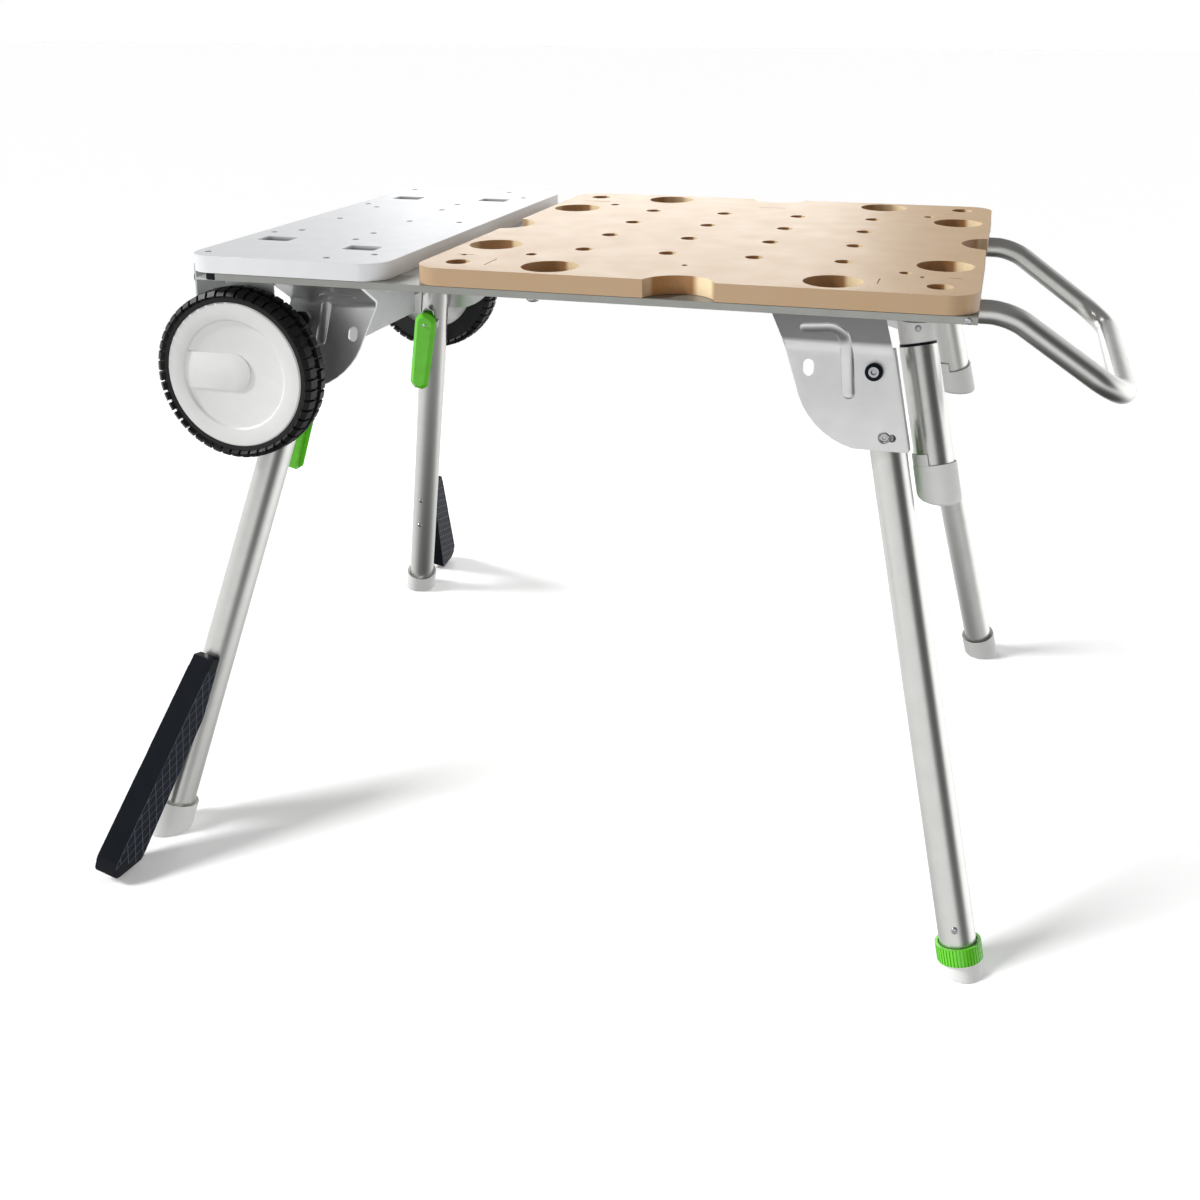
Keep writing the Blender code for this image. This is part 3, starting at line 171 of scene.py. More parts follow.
# %% Pale laminate
# Where the painted shade starts under the top, and how far it stays from the outer edges
SHADE_DEPTH = (0.0035, 0.0012)
UNSHADED_EDGE = 0.014
PRINT_PATCHES = 45.0    # to the metre, so about 22 mm each
DIMPLES = 900.0         # about 1.1 mm
low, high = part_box("side_board")
middle = (low + high) / 2
tree, place = start_finish("white_laminate", "pale_laminate")
spot = add(tree, "SeparateXYZ", {"Vector": place["Object"]})
below = add(tree, "MapRange", {"Value": spot["Z"], "From Min": TOP - SHADE_DEPTH[0],
                               "From Max": TOP - SHADE_DEPTH[1], "To Min": 1.0, "To Max": 0.0})["Result"]
from_middle = add(tree, "VectorMath", {0: place["Object"], 1: (middle.x, 0, 0)},
                  operation="SUBTRACT")["Vector"]
from_middle = add(tree, "VectorMath", {0: from_middle}, operation="ABSOLUTE")["Vector"]
from_middle = add(tree, "SeparateXYZ", {"Vector": from_middle})
inside_x = add(tree, "Math", {0: from_middle["X"], 1: (high.x - low.x) / 2 - UNSHADED_EDGE},
               operation="LESS_THAN")["Value"]
inside_y = add(tree, "Math", {0: from_middle["Y"], 1: high.y - UNSHADED_EDGE},
               operation="LESS_THAN")["Value"]
inside = add(tree, "Math", {0: inside_x, 1: inside_y}, operation="MULTIPLY")["Value"]
# Painted shade: darker grey in the holes and pockets and on the underside
painted_pocket_shade = add(tree, "Math", {0: inside, 1: below}, operation="MULTIPLY")["Value"]
clouds = add(tree, "TexNoise", {"Vector": place["Object"], "Scale": PRINT_PATCHES,
                                "Detail": 3.0})["Fac"]
skin = add(tree, "Mix", {0: clouds, 6: linear("#e0e1e3"), 7: linear("#d8d9db")}, data_type="RGBA")[2]
colour = add(tree, "Mix", {0: painted_pocket_shade, 6: skin, 7: linear("#a9a9a8")}, data_type="RGBA")[2]
rough = add(tree, "MapRange", {"Value": clouds, "To Min": 0.48, "To Max": 0.58})["Result"]
dimples = add(tree, "TexNoise", {"Vector": place["Object"], "Scale": DIMPLES})["Fac"]
bump = add(tree, "Bump", {"Strength": 0.10, "Distance": 0.0001, "Height": dimples})["Normal"]
end_finish(tree, {"Base Color": colour, "Roughness": rough, "Normal": bump})
print("laminate ready")

# %% [markdown]
# Sheet steel and tubes have a silver coat. On the folded sheet it is a baked powder with the skin of
# a fine orange peel, a millimetre or two across. On the tubes it is a sprayed lacquer, which is
# smoother. Both hold metal flakes that mirror the room in soft bands, so they are metals with a medium
# roughness. The flakes are far smaller than a pixel and only show as a slight cloudiness. The brackets
# and the cross rails have a paler powder with few flakes, and the two long rails are given a darker
# grey.


# %% Silver coats
FLAKE_PATCHES = 55.0    # to the metre, so about 18 mm each
POWDER_PEEL = 500.0     # about 2 mm
LACQUER_PEEL = 900.0    # about 1.1 mm


def silver(slot, name, metallic, colours, roughness, peel_scale, peel):
    """A silver coat: cloudy flakes, a roughness that wanders, and the peel of its skin."""
    tree, place = start_finish(slot, name)
    clouds = add(tree, "TexNoise", {"Vector": place["Object"], "Scale": FLAKE_PATCHES,
                                    "Detail": 3.0})["Fac"]
    light, shade = (linear(code) for code in colours)
    colour = add(tree, "Mix", {0: clouds, 6: light, 7: shade}, data_type="RGBA")[2]
    rough = add(tree, "MapRange", {"Value": clouds, "To Min": roughness[0],
                                   "To Max": roughness[1]})["Result"]
    skin = add(tree, "TexNoise", {"Vector": place["Object"], "Scale": peel_scale})["Fac"]
    bump = add(tree, "Bump", {"Strength": peel, "Distance": 0.0001, "Height": skin})["Normal"]
    end_finish(tree, {"Base Color": colour, "Metallic": metallic, "Roughness": rough, "Normal": bump})


silver("grey_powder_coat", "silver_powder_coat", metallic=0.85, colours=("#e0e1e0", "#d4d5d4"),
       roughness=(0.28, 0.36), peel_scale=POWDER_PEEL, peel=0.10)
silver("plain_powder_coat", "pale_powder_coat", metallic=0.15, colours=("#c4c6c6", "#b8baba"),
       roughness=(0.34, 0.44), peel_scale=POWDER_PEEL, peel=0.12)
# The two long rails are given a darker grey
silver("rail_coat", "grey_powder_coat_on_rail", metallic=0.5, colours=("#989994", "#8c8d88"),
       roughness=(0.34, 0.44), peel_scale=POWDER_PEEL, peel=0.12)
silver("silver_tube_coat", "silver_lacquer_on_tube", metallic=0.88, colours=("#d8d8d5", "#cdcdca"),
       roughness=(0.26, 0.33), peel_scale=LACQUER_PEEL, peel=0.04)
print("silver coats ready")

# %% [markdown]
# Feet, caps and wheel covers are moulded in a light grey plastic. The mould was spark-eroded, so the
# skin has a dull, even grain of well under a millimetre. The green and black parts are moulded the
# same way, the green ones with a smoother mould. The edges of the pedals' ribs are painted a paler
# blue-grey, a painted highlight for the light they catch. The tyres are moulded in rubber, which is
# duller still.


# %% Moulded plastics and rubber
MOULD_PATCHES = 70.0    # to the metre, so about 14 mm each
MOULD_GRAIN = 1500.0    # about 0.7 mm, coarser than the real grain, which is too fine to show


def moulded(slot, name, colours, roughness, grain, gloss=0.5):
    """A moulding: two close colours, clouded, and the grain of its mould."""
    tree, place = start_finish(slot, name)
    clouds = add(tree, "TexNoise", {"Vector": place["Object"], "Scale": MOULD_PATCHES,
                                    "Detail": 3.0})["Fac"]
    light, shade = (linear(code) for code in colours)
    colour = add(tree, "Mix", {0: clouds, 6: light, 7: shade}, data_type="RGBA")[2]
    rough = add(tree, "MapRange", {"Value": clouds, "To Min": roughness - 0.05,
                                   "To Max": roughness + 0.06})["Result"]
    skin = add(tree, "TexNoise", {"Vector": place["Object"], "Scale": MOULD_GRAIN})["Fac"]
    bump = add(tree, "Bump", {"Strength": grain, "Distance": 0.0001, "Height": skin})["Normal"]
    end_finish(tree, {"Base Color": colour, "Roughness": rough, "Specular IOR Level": gloss,
                      "Normal": bump})


moulded("light_grey_plastic", "light_grey_moulding", ("#dcdcda", "#d2d2d0"), roughness=0.40, grain=0.08)
moulded("green_plastic", "green_moulding", ("#6bcf2e", "#5cbd24"), roughness=0.26, grain=0.05)
moulded("black_plastic", "blue_black_moulding", ("#090d14", "#10151d"), roughness=0.46, grain=0.10,
        gloss=0.12)
# Paler blue-black for the edges of the pedals' ribs: a painted highlight
moulded("painted_rib_highlight", "blue_black_rib_edges", ("#3a4152", "#464e61"), roughness=0.45, grain=0.08,
        gloss=0.3)
moulded("tyre_rubber", "moulded_rubber", ("#0c0c0d", "#17181a"), roughness=0.50, grain=0.12, gloss=0.35)
print("plastics and rubber ready")

# %% [markdown]
# The bolts, pins and screws are steel with a bright zinc plate. The plate grows in crystals, which
# leave it cloudy over a few millimetres.

# %% Zinc plate
CRYSTALS = 350.0        # to the metre, so about 2.9 mm each, coarse enough to show
tree, place = start_finish("zinc_plated_steel", "zinc_plate")
cloudy = add(tree, "TexNoise", {"Vector": place["Object"], "Scale": CRYSTALS})["Fac"]
colour = add(tree, "Mix", {0: cloudy, 6: linear("#c8cacc"), 7: linear("#aeb0b4")}, data_type="RGBA")[2]
rough = add(tree, "MapRange", {"Value": cloudy, "To Min": 0.18, "To Max": 0.34})["Result"]
end_finish(tree, {"Base Color": colour, "Metallic": 1.0, "Roughness": rough})
print("finishes:", ", ".join(sorted(MATERIALS)))

# %% [markdown]
# ## Tools for the bench
# Most pieces start as a primitive or as a copy of a CAD piece. A CAD piece is a heap of loose
# triangles, so its copy is merged into whole faces first. The rules of work are always the same: make
# one piece active, shape it in edit mode, round its edges, and hand it to the CAD body it rides on.


# %% Choosing a piece
def use_nothing():
    """Go back to object mode with nothing selected."""
    if bpy.context.mode != "OBJECT":
        bpy.ops.object.mode_set(mode="OBJECT")
    bpy.ops.object.select_all(action="DESELECT")


def use(piece):
    """Make one object the only selected and active one."""
    use_nothing()
    piece.select_set(True)
    bpy.context.view_layer.objects.active = piece


def edit(piece, kind="FACE"):
    """Open one object in edit mode, with all of it selected."""
    use(piece)
    bpy.ops.object.mode_set(mode="EDIT")
    bpy.ops.mesh.select_mode(type=kind)
    bpy.ops.mesh.select_all(action="SELECT")


# %% Shaping a piece
MERGE = 0.00002         # points closer than this are one point


def apply_modifier(piece, kind, **settings):
    """Add a modifier with these settings and apply it."""
    use(piece)
    modifier = piece.modifiers.new(kind.lower(), kind)
    for name, value in settings.items():
        setattr(modifier, name, value)
    bpy.ops.object.modifier_apply(modifier=modifier.name)


def smooth(piece, angle=35):
    """Shade a piece smooth, apart from edges sharper than an angle."""
    use(piece)
    bpy.ops.object.shade_smooth_by_angle(angle=radians(angle))


def rounded(piece, width, segments=2, angle=50):
    """Round every edge sharper than an angle."""
    smooth(piece)
    apply_modifier(piece, "BEVEL", width=width, segments=segments, limit_method="ANGLE",
                   angle_limit=radians(angle), harden_normals=True)
    smooth(piece)


# %% Starting and finishing a piece
def from_cad(node):
    """A new object with a CAD piece's shape, its loose triangles merged into whole faces."""
    piece = bpy.data.objects.new(node + "_look", frame["nodes"][node].data.copy())
    bpy.context.scene.collection.objects.link(piece)
    use(piece)
    bpy.ops.mesh.customdata_custom_splitnormals_clear()
    edit(piece)
    bpy.ops.mesh.remove_doubles(threshold=MERGE)
    bpy.ops.mesh.dissolve_limited(angle_limit=radians(1))
    bpy.ops.mesh.normals_make_consistent(inside=False)
    return piece


def settle(piece):
    """Write a piece's place, turn and scale into its mesh."""
    use(piece)
    bpy.ops.object.transform_apply(location=True, rotation=True, scale=True)


def keep(piece, name, body, slot, *nodes, finish=None):
    """Name a finished piece, fix its place in the mesh, and let it ride on a CAD body."""
    settle(piece)
    piece.name = name
    piece.data.materials.clear()
    piece.data.materials.append(MATERIALS[finish or slot])
    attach(piece, body)
    if nodes:
        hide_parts(*nodes)
    return piece


def softened(node, slot, width, angle=50, finish=None):
    """A CAD piece with rounded edges, in the place of that CAD piece."""
    piece = from_cad(node)
    rounded(piece, width, angle=angle)
    return keep(piece, node + "_look", frame["nodes"][node]["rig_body"], slot, node, finish=finish)


# %% [markdown]
# ## Boards
# The work board was routed from one sheet: an outline with a round notch in each edge, a grid of
# clamping holes and large holes to reach the clamps. The router leaves a fine chamfer on each edge.
# Short marks are scored near the edges with a narrow cutter. A score is a thin block, taken away from
# the board with a boolean.


# %% Blocks and cuts
def block(lowest, highest):
    """A box between two corners."""
    use_nothing()
    lowest, highest = Vector(lowest), Vector(highest)
    bpy.ops.mesh.primitive_cube_add(size=1.0, location=(lowest + highest) / 2)
    piece = bpy.context.object
    piece.scale = highest - lowest
    settle(piece)
    return piece


def cut(piece, tool):
    """Cut a piece with another one, which is then thrown away."""
    apply_modifier(piece, "BOOLEAN", object=tool, operation="DIFFERENCE", solver="EXACT")
    bpy.data.objects.remove(tool)


# %% Work board and side board
SCORE = 0.0007          # half the width of a score, and its depth
SCORES = (              # both ends of each score, from the middle of the board
    (-0.261, 0.208, -0.224, 0.208), (-0.015, 0.209, 0.019, 0.209), (-0.216, -0.255, -0.216, -0.223),
    (0.190, -0.248, 0.190, -0.224), (0.228, 0.212, 0.239, 0.212), (-0.268, -0.206, -0.249, -0.206),
    (0.254, -0.203, 0.268, -0.203))
work_board = from_cad("work_board")
for x1, y1, x2, y2 in SCORES:
    cut(work_board, block((BOARD_X + x1 - SCORE, y1 - SCORE, TOP - SCORE),
                          (BOARD_X + x2 + SCORE, y2 + SCORE, TOP + SCORE)))
rounded(work_board, width=0.0009, segments=1, angle=60)
keep(work_board, "work_board_look", "frame", "mdf", "work_board")

side_board = softened("side_board", "white_laminate", width=0.0012, angle=60)
print("boards:", len(work_board.data.polygons), "and", len(side_board.data.polygons), "faces")

# %% [markdown]
# ## Rails and brackets
# These are folded from sheet. A press brake leaves a small radius at each fold and the powder rounds
# the cut edges, so every edge gets a narrow bevel that catches the light. The wheel brackets end short
# of the side board's edge. The web of the right cross rail is cut back at both ends, so that it stays
# behind the legs.

# %% Sheet pieces
SHEET_EDGE = 0.0006
BRACKET_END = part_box("side_board")[0].x + 0.006
WEB_CUT = 0.070
SPARE = 0.01            # how far a cutter reaches past the piece
FLANGE = 0.004
for side in SIDES:
    softened(side + "_rail", "grey_powder_coat", SHEET_EDGE, finish="rail_coat")
    bracket = from_cad(side + "_wheel_bracket")
    bpy.ops.mesh.bisect(plane_co=(BRACKET_END, 0, 0), plane_no=(1, 0, 0), use_fill=True, clear_inner=True)
    rounded(bracket, SHEET_EDGE)
    keep(bracket, side + "_wheel_bracket_look", "frame", "grey_powder_coat", side + "_wheel_bracket",
         finish="plain_powder_coat")
for place in ("left", "middle"):
    softened(place + "_cross_rail", "grey_powder_coat", SHEET_EDGE, finish="plain_powder_coat")
cross_rail = from_cad("right_cross_rail")
low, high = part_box("right_cross_rail")
for y in (low.y, high.y - WEB_CUT):
    cut(cross_rail, block((low.x - SPARE, y - SPARE / 10, low.z - SPARE),
                          (high.x + SPARE, y + WEB_CUT + SPARE / 10, high.z - FLANGE)))
rounded(cross_rail, SHEET_EDGE)
keep(cross_rail, "right_cross_rail_look", "frame", "grey_powder_coat", "right_cross_rail",
     finish="plain_powder_coat")
for side in SIDES:
    softened(side + "_rail_plug", "black_plastic", width=0.0010)
    softened(side + "_end_buffer", "black_plastic", width=0.0008)
print("web of the right cross rail:", round(high.y - low.y - 2 * WEB_CUT, 3), "m long")

# %% [markdown]
# ## Gussets
# A gusset is a plate that carries a leg. Its upper part leans out to the rail, with a wide bend
# between them. The lock pin's hole was punched as a keyhole, so a small round notch is cut beside the
# hole. All of this is easier in the gusset's own frame, which comes from the joints of its leg.


# %% Frames and cylinders
def axes(x, y, z, origin):
    """A frame from three axes and an origin."""
    turn = Matrix((x, y, z)).transposed().to_4x4()
    turn.translation = origin
    return turn


def gusset_frame(name):
    """Gusset's own frame: X along the stand, Y out along the pivot bolt, Z up the plate."""
    y = -Vector(JOINTS[name + "_unlock"]["axis"])
    x = Vector((1 if y.y > 0 else -1, 0, 0))
    return axes(x, y, x.cross(y), Vector(JOINTS[name + "_fold"]["pos_m"]))


def outboard(name):
    """Sign of a gusset's own X that points to the near end of the stand."""
    return (1 if "right" in name else -1) * (1 if "rear" in name else -1)


def reach(node, place):
    """Lowest and highest corner of a CAD piece in a local frame."""
    back = place.inverted()
    points = [back @ v.co for v in frame["nodes"][node].data.vertices]
    return (Vector(min(p[i] for p in points) for i in range(3)),
            Vector(max(p[i] for p in points) for i in range(3)))


def cylinder(radius, bottom, top, sides=64):
    """An upright cylinder on the Z axis."""
    use_nothing()
    bpy.ops.mesh.primitive_cylinder_add(vertices=sides, radius=radius, depth=top - bottom,
                                        location=(0, 0, (top + bottom) / 2))
    piece = bpy.context.object
    settle(piece)
    return piece


# %% Selecting edges
NEAR = 0.001            # places closer than this count as one


def pick_edges(piece, test):
    """Select the edges whose two ends pass a test, and stay in edit mode."""
    edit(piece, "EDGE")
    bpy.ops.mesh.select_all(action="DESELECT")
    bpy.ops.object.mode_set(mode="OBJECT")
    points = piece.data.vertices
    for edge in piece.data.edges:
        edge.select = bool(test(points[edge.vertices[0]].co, points[edge.vertices[1]].co))
    bpy.ops.object.mode_set(mode="EDIT")


BEND = 0.024            # height of the bend above the pivot
BEND_LENGTH = 0.03      # the bend is longer than this


def is_bend(a, b):
    """Whether an edge runs along the bend between the plate and its leaning part."""
    level = abs(a.z - b.z) < NEAR / 2 and abs(a.y - b.y) < NEAR / 2
    return level and abs(a.z - BEND) < 4 * NEAR and abs(a.x - b.x) > BEND_LENGTH


# %% Gusset plates
ALONG_Y = Matrix.Rotation(radians(-90), 4, "X")     # lays an upright piece along Y
PLATE_FACE = 0.022
KEYHOLE = ((0.0061, 0.0), (0.0040, 0.0078))         # radius of each hole, and its place beside the pin
PUNCH_START, PUNCH_LENGTH = -0.006, 0.010
BEND_WIDTH = 0.0075
for name in LEGS:
    place = gusset_frame(name)
    gusset = from_cad(name + "_gusset")
    pin_low, pin_high = reach(name + "_lock_pin", place)
    pin = (pin_low + pin_high) / 2
    for radius, beside in KEYHOLE:
        punch = cylinder(radius, 0.0, PUNCH_LENGTH, sides=32)
        spot = (pin.x + outboard(name) * beside, PLATE_FACE + PUNCH_START, pin.z)
        punch.matrix_world = place @ Matrix.Translation(spot) @ ALONG_Y
        cut(gusset, punch)
    back = place.inverted()
    pick_edges(gusset, lambda a, b: is_bend(back @ a, back @ b))
    bpy.ops.mesh.bevel(offset=BEND_WIDTH, segments=6, affect="EDGES")
    rounded(gusset, SHEET_EDGE)
    keep(gusset, name + "_gusset_look", "frame", "grey_powder_coat", name + "_gusset")
print("gussets:", len(LEGS))

# %% [markdown]
# A bent rib pressed into the sheet stiffens each gusset across its bend. It starts as a drawn line with
# one rounded corner, becomes a round bar with domed ends, is flattened, and is then bent with the plate.


# %% Selecting faces and points
SQUARE_ON = 0.9         # a face with more than this share of its normal along an axis faces it


def pick(piece, test):
    """Select the faces whose centre and normal pass a test, and stay in edit mode."""
    edit(piece)
    bpy.ops.mesh.select_all(action="DESELECT")
    bpy.ops.object.mode_set(mode="OBJECT")
    for face in piece.data.polygons:
        face.select = bool(test(face.center, face.normal))
    bpy.ops.object.mode_set(mode="EDIT")


def pick_points(piece, test):
    """Select the points that pass a test, and stay in edit mode."""
    edit(piece, "VERT")
    bpy.ops.mesh.select_all(action="DESELECT")
    bpy.ops.object.mode_set(mode="OBJECT")
    for point in piece.data.vertices:
        point.select = bool(test(point.co))
    bpy.ops.object.mode_set(mode="EDIT")


# %% Drawing lines
def drawn(points):
    """A line through points, drawn by extruding one vertex."""
    use_nothing()
    bpy.ops.mesh.primitive_plane_add(size=0.001)
    line = bpy.context.object
    edit(line, "VERT")
    bpy.ops.mesh.merge(type="CENTER")
    here = Vector((0, 0, 0))
    for count, point in enumerate(points):
        step = Vector(point) - here
        if count == 0:
            bpy.ops.transform.translate(value=step)
        else:
            bpy.ops.mesh.extrude_vertices_move(TRANSFORM_OT_translate={"value": step})
        here += step
    return line


def piped(line, radius, steps):
    """A drawn line made into a round tube with closed ends."""
    use(line)
    bpy.ops.object.convert(target="CURVE")
    curve = bpy.context.object
    curve.data.bevel_depth = radius
    curve.data.bevel_resolution = steps
    curve.data.use_fill_caps = True
    bpy.ops.object.convert(target="MESH")
    tube = bpy.context.object
    edit(tube)
    bpy.ops.mesh.remove_doubles(threshold=MERGE)
    bpy.ops.mesh.dissolve_limited(angle_limit=radians(0.2))
    bpy.ops.mesh.normals_make_consistent(inside=False)
    return tube


# %% Gusset ribs
RIB_LINE = ((-0.075, 0.043), (-0.034, 0.047), (-0.0290, 0.024), (-0.0240, -0.029))
RIB_CORNER = 0.012
RIB_WIDTH, RIB_HEIGHT = 0.0134, 0.0024
RIB_DOME = RIB_WIDTH * 0.47
BENT_FROM = BEND + 0.0012
PLATE_LEAN = {"right": radians(36.2), "left": radians(74.7)}
for name in LEGS:
    points = [Vector((outboard(name) * u, 0, v)) for u, v in RIB_LINE]
    line = drawn(points)
    pick_points(line, lambda point: point.z > RIB_LINE[1][1] - NEAR / 2)
    bpy.ops.mesh.bevel(offset=RIB_CORNER, segments=6, affect="VERTICES")
    rib = piped(line, RIB_WIDTH / 2, steps=6)
    ends = (points[0], points[-1])
    pick(rib, lambda centre, normal: min((centre - end).length for end in ends) < 2 * NEAR)
    bpy.ops.mesh.bevel(offset=RIB_DOME, segments=6, affect="EDGES")
    rib.scale = (1.0, 2 * RIB_HEIGHT / RIB_WIDTH, 1.0)
    settle(rib)
    pick_points(rib, lambda point: point.z > BENT_FROM)
    bpy.ops.transform.rotate(value=PLATE_LEAN[name.split("_")[1]], orient_axis="X",
                             center_override=(0, 0, BEND))
    smooth(rib, angle=50)
    rib.matrix_world = gusset_frame(name) @ Matrix.Translation((0, PLATE_FACE, 0))
    keep(rib, name + "_gusset_rib", "frame", "grey_powder_coat")
print("ribs:", len(LEGS))

# %% [markdown]
# ## Legs
# A leg is a round tube with a domed top at its pivot and two lugs for the latch. The tube starts as a
# cylinder. Beveling its top rim by the full radius makes the dome. The lugs are small blocks with two
# rounded edges. The tube of the front right leg goes down into the levelling ring.


# %% Frames of the legs
def leg_frame(name):
    """Leg's own frame: X along the lever's rivet, Y out along the pivot bolt, Z up the tube."""
    x = Vector(JOINTS[name + "_squeeze"]["axis"])
    y = -Vector(JOINTS[name + "_unlock"]["axis"])
    return axes(x, y, x.cross(y), Vector(JOINTS[name + "_fold"]["pos_m"]))


def rivet_frame(name):
    """The leg's frame, moved to the lever's rivet."""
    place = leg_frame(name)
    place.translation = JOINTS[name + "_squeeze"]["pos_m"]
    return place


def joined(first, *others):
    """Make several pieces one object."""
    use(first)
    for piece in others:
        piece.select_set(True)
    bpy.ops.object.join()


# %% Leg tubes
LEG_RADIUS = reach("rear_right_leg_tube", leg_frame("rear_right"))[1].y
RING_HEIGHT = 0.0165
RING_OVERLAP = 0.0015
LUG_INNER, LUG_OUTER, LUG_HALF = 0.0093, 0.0123, 0.0055
LUG_ROUND = 0.0050
for name in LEGS:
    place = leg_frame(name)
    bottom, top = reach(name + "_leg_tube", place)
    if name == "front_right":
        bottom.z = reach("levelling_ring", place)[0].z + RING_HEIGHT - RING_OVERLAP
    leg = cylinder(LEG_RADIUS, bottom.z, top.z)
    pick_edges(leg, lambda a, b: min(a.z, b.z) > top.z - NEAR)
    bpy.ops.mesh.bevel(offset=LEG_RADIUS * 0.98, segments=10, affect="EDGES")
    rivet = place.inverted() @ rivet_frame(name).translation
    for hand in (-1, 1):
        inner, outer = sorted((hand * LUG_INNER, hand * LUG_OUTER))
        lug = block((inner, rivet.y - LUG_HALF, rivet.z - LUG_HALF),
                    (outer, -LEG_RADIUS * 0.7, rivet.z + LUG_HALF))
        pick_edges(lug, lambda a, b: max(a.y, b.y) < rivet.y and abs(a.z - b.z) < NEAR)
        bpy.ops.mesh.bevel(offset=LUG_ROUND, segments=6, affect="EDGES")
        joined(leg, lug)
    smooth(leg, angle=40)
    leg.matrix_world = place
    keep(leg, name + "_leg_tube_look", name + "_leg", "silver_tube_coat", name + "_leg_tube")
print("legs:", ", ".join(LEGS))

# %% [markdown]
# A rivet carries each lever, and a lock pin goes through each leg. The pin's outer end has a drilled
# hollow, which is an inset face that is pushed in.

# %% Rivets and lock pins
PIN_WALL, PIN_HOLLOW, PIN_END = 0.0024, 0.0025, 0.0003
for name in LEGS:
    softened(name + "_latch_rivet", "zinc_plated_steel", width=0.0003)
    place = leg_frame(name)
    back = place.inverted()
    tip = reach(name + "_lock_pin", place)[1].y
    pin = from_cad(name + "_lock_pin")
    pick(pin, lambda centre, normal: (back @ centre).y > tip - PIN_END)
    bpy.ops.mesh.inset(thickness=PIN_WALL)
    bpy.ops.mesh.extrude_region_move(TRANSFORM_OT_translate={"value": -PIN_HOLLOW * place.col[1].xyz})
    rounded(pin, width=0.0007, segments=3)
    keep(pin, name + "_lock_pin_look", name + "_lock", "zinc_plated_steel", name + "_lock_pin")
print("rivets and pins:", 2 * len(LEGS))

# %% [markdown]
# ## Latch levers
# A lever is moulded: a body on the rivet, and in front of it a broad grip with an arched top, a blunt
# foot and a wide slope all round. The body comes from the CAD piece, cut off behind the grip. The grip
# is a block with bevelled corners, and an inset of its face that is pulled out makes the slope. A small
# dot of a rivet shows on the grip.

# %% Grip and dot
GRIP_HALF, GRIP_TAPER = 0.0160, 0.84
GRIP_TOP, GRIP_FOOT = 0.0220, -0.0990
GRIP_BACK, GRIP_FRONT = 0.0003, -0.0010
GRIP_ARCH, GRIP_BLUNT = GRIP_HALF * 0.96, 0.0075
SLOPE_WIDTH, SLOPE_HEIGHT = 0.0056, 0.0042
DOT_RADIUS, DOT_HEIGHT = 0.0027, 0.0012
grip = block((-GRIP_HALF, GRIP_FRONT, GRIP_FOOT), (GRIP_HALF, GRIP_BACK, GRIP_TOP))
pick_edges(grip, lambda a, b: min(a.z, b.z) > 0 and abs(a.y - b.y) > NEAR)
bpy.ops.mesh.bevel(offset=GRIP_ARCH, segments=10, affect="EDGES")
pick_points(grip, lambda point: point.z < GRIP_FOOT + NEAR)
bpy.ops.transform.resize(value=(GRIP_TAPER, 1, 1), center_override=(0, 0, GRIP_FOOT))
pick_edges(grip, lambda a, b: max(a.z, b.z) < GRIP_FOOT + NEAR and abs(a.y - b.y) > NEAR)
bpy.ops.mesh.bevel(offset=GRIP_BLUNT, segments=1, affect="EDGES")
pick(grip, lambda centre, normal: normal.y < -SQUARE_ON)
bpy.ops.mesh.inset(thickness=SLOPE_WIDTH)
bpy.ops.transform.translate(value=(0, -SLOPE_HEIGHT, 0))
rounded(grip, width=0.0005, angle=20)
dot = cylinder(DOT_RADIUS, 0.0, DOT_HEIGHT, sides=24)
pick_edges(dot, lambda a, b: min(a.z, b.z) > DOT_HEIGHT / 2)
bpy.ops.mesh.bevel(offset=0.0010, segments=3, affect="EDGES")
smooth(dot, angle=40)
print("grip:", len(grip.data.polygons), "faces")


# %% Latch levers
def copied(piece, name, place):
    """A copy with its own mesh, moved by a matrix."""
    twin = bpy.data.objects.new(name, piece.data.copy())
    bpy.context.scene.collection.objects.link(twin)
    twin.data.transform(place)
    return twin


AGAINST_Y = Matrix.Rotation(radians(90), 4, "X")
GRIP_LEAN = Matrix.Rotation(radians(-7.84), 4, "X")
GRIP_OUT = Matrix.Translation((0, -0.0065, 0))
BODY_FOOT = Vector((0, 0, GRIP_FOOT + 0.003))
DOT_SPOT = Matrix.Translation((0, -0.0051, 0.0045))
for name in LEGS:
    place = rivet_frame(name)
    lever = from_cad(name + "_latch_lever")
    bpy.ops.mesh.bisect(plane_co=place @ BODY_FOOT, plane_no=place.col[2].xyz,
                        use_fill=True, clear_inner=True)
    rounded(lever, width=0.0006)
    face = place @ GRIP_OUT @ GRIP_LEAN
    joined(lever, copied(grip, "grip", face))
    keep(lever, name + "_latch_lever_look", name + "_latch", "green_plastic", name + "_latch_lever")
    rivet = copied(dot, "dot", face @ DOT_SPOT @ AGAINST_Y)
    keep(rivet, name + "_lever_rivet", name + "_latch", "zinc_plated_steel")
bpy.data.objects.remove(grip)
bpy.data.objects.remove(dot)
print("levers:", len(LEGS))

# %% [markdown]
# ## Pivot bolts
# Each leg turns on a bolt with a socket in its head. The socket is an inset face that is pushed in and
# drawn together. A black bush round the head keeps the plate from rubbing. The bush is a ring, so its
# section is drawn and spun.


# %% Spinning a section
def turned(points, steps):
    """A line of (radius, height) points, spun about Z."""
    piece = drawn([(radius, 0, height) for radius, height in points])
    edit(piece, "VERT")
    bpy.ops.mesh.spin(steps=steps, angle=2 * pi, center=(0, 0, 0), axis=(0, 0, 1))
    edit(piece)
    bpy.ops.mesh.remove_doubles(threshold=MERGE)
    bpy.ops.mesh.normals_make_consistent(inside=False)
    return piece


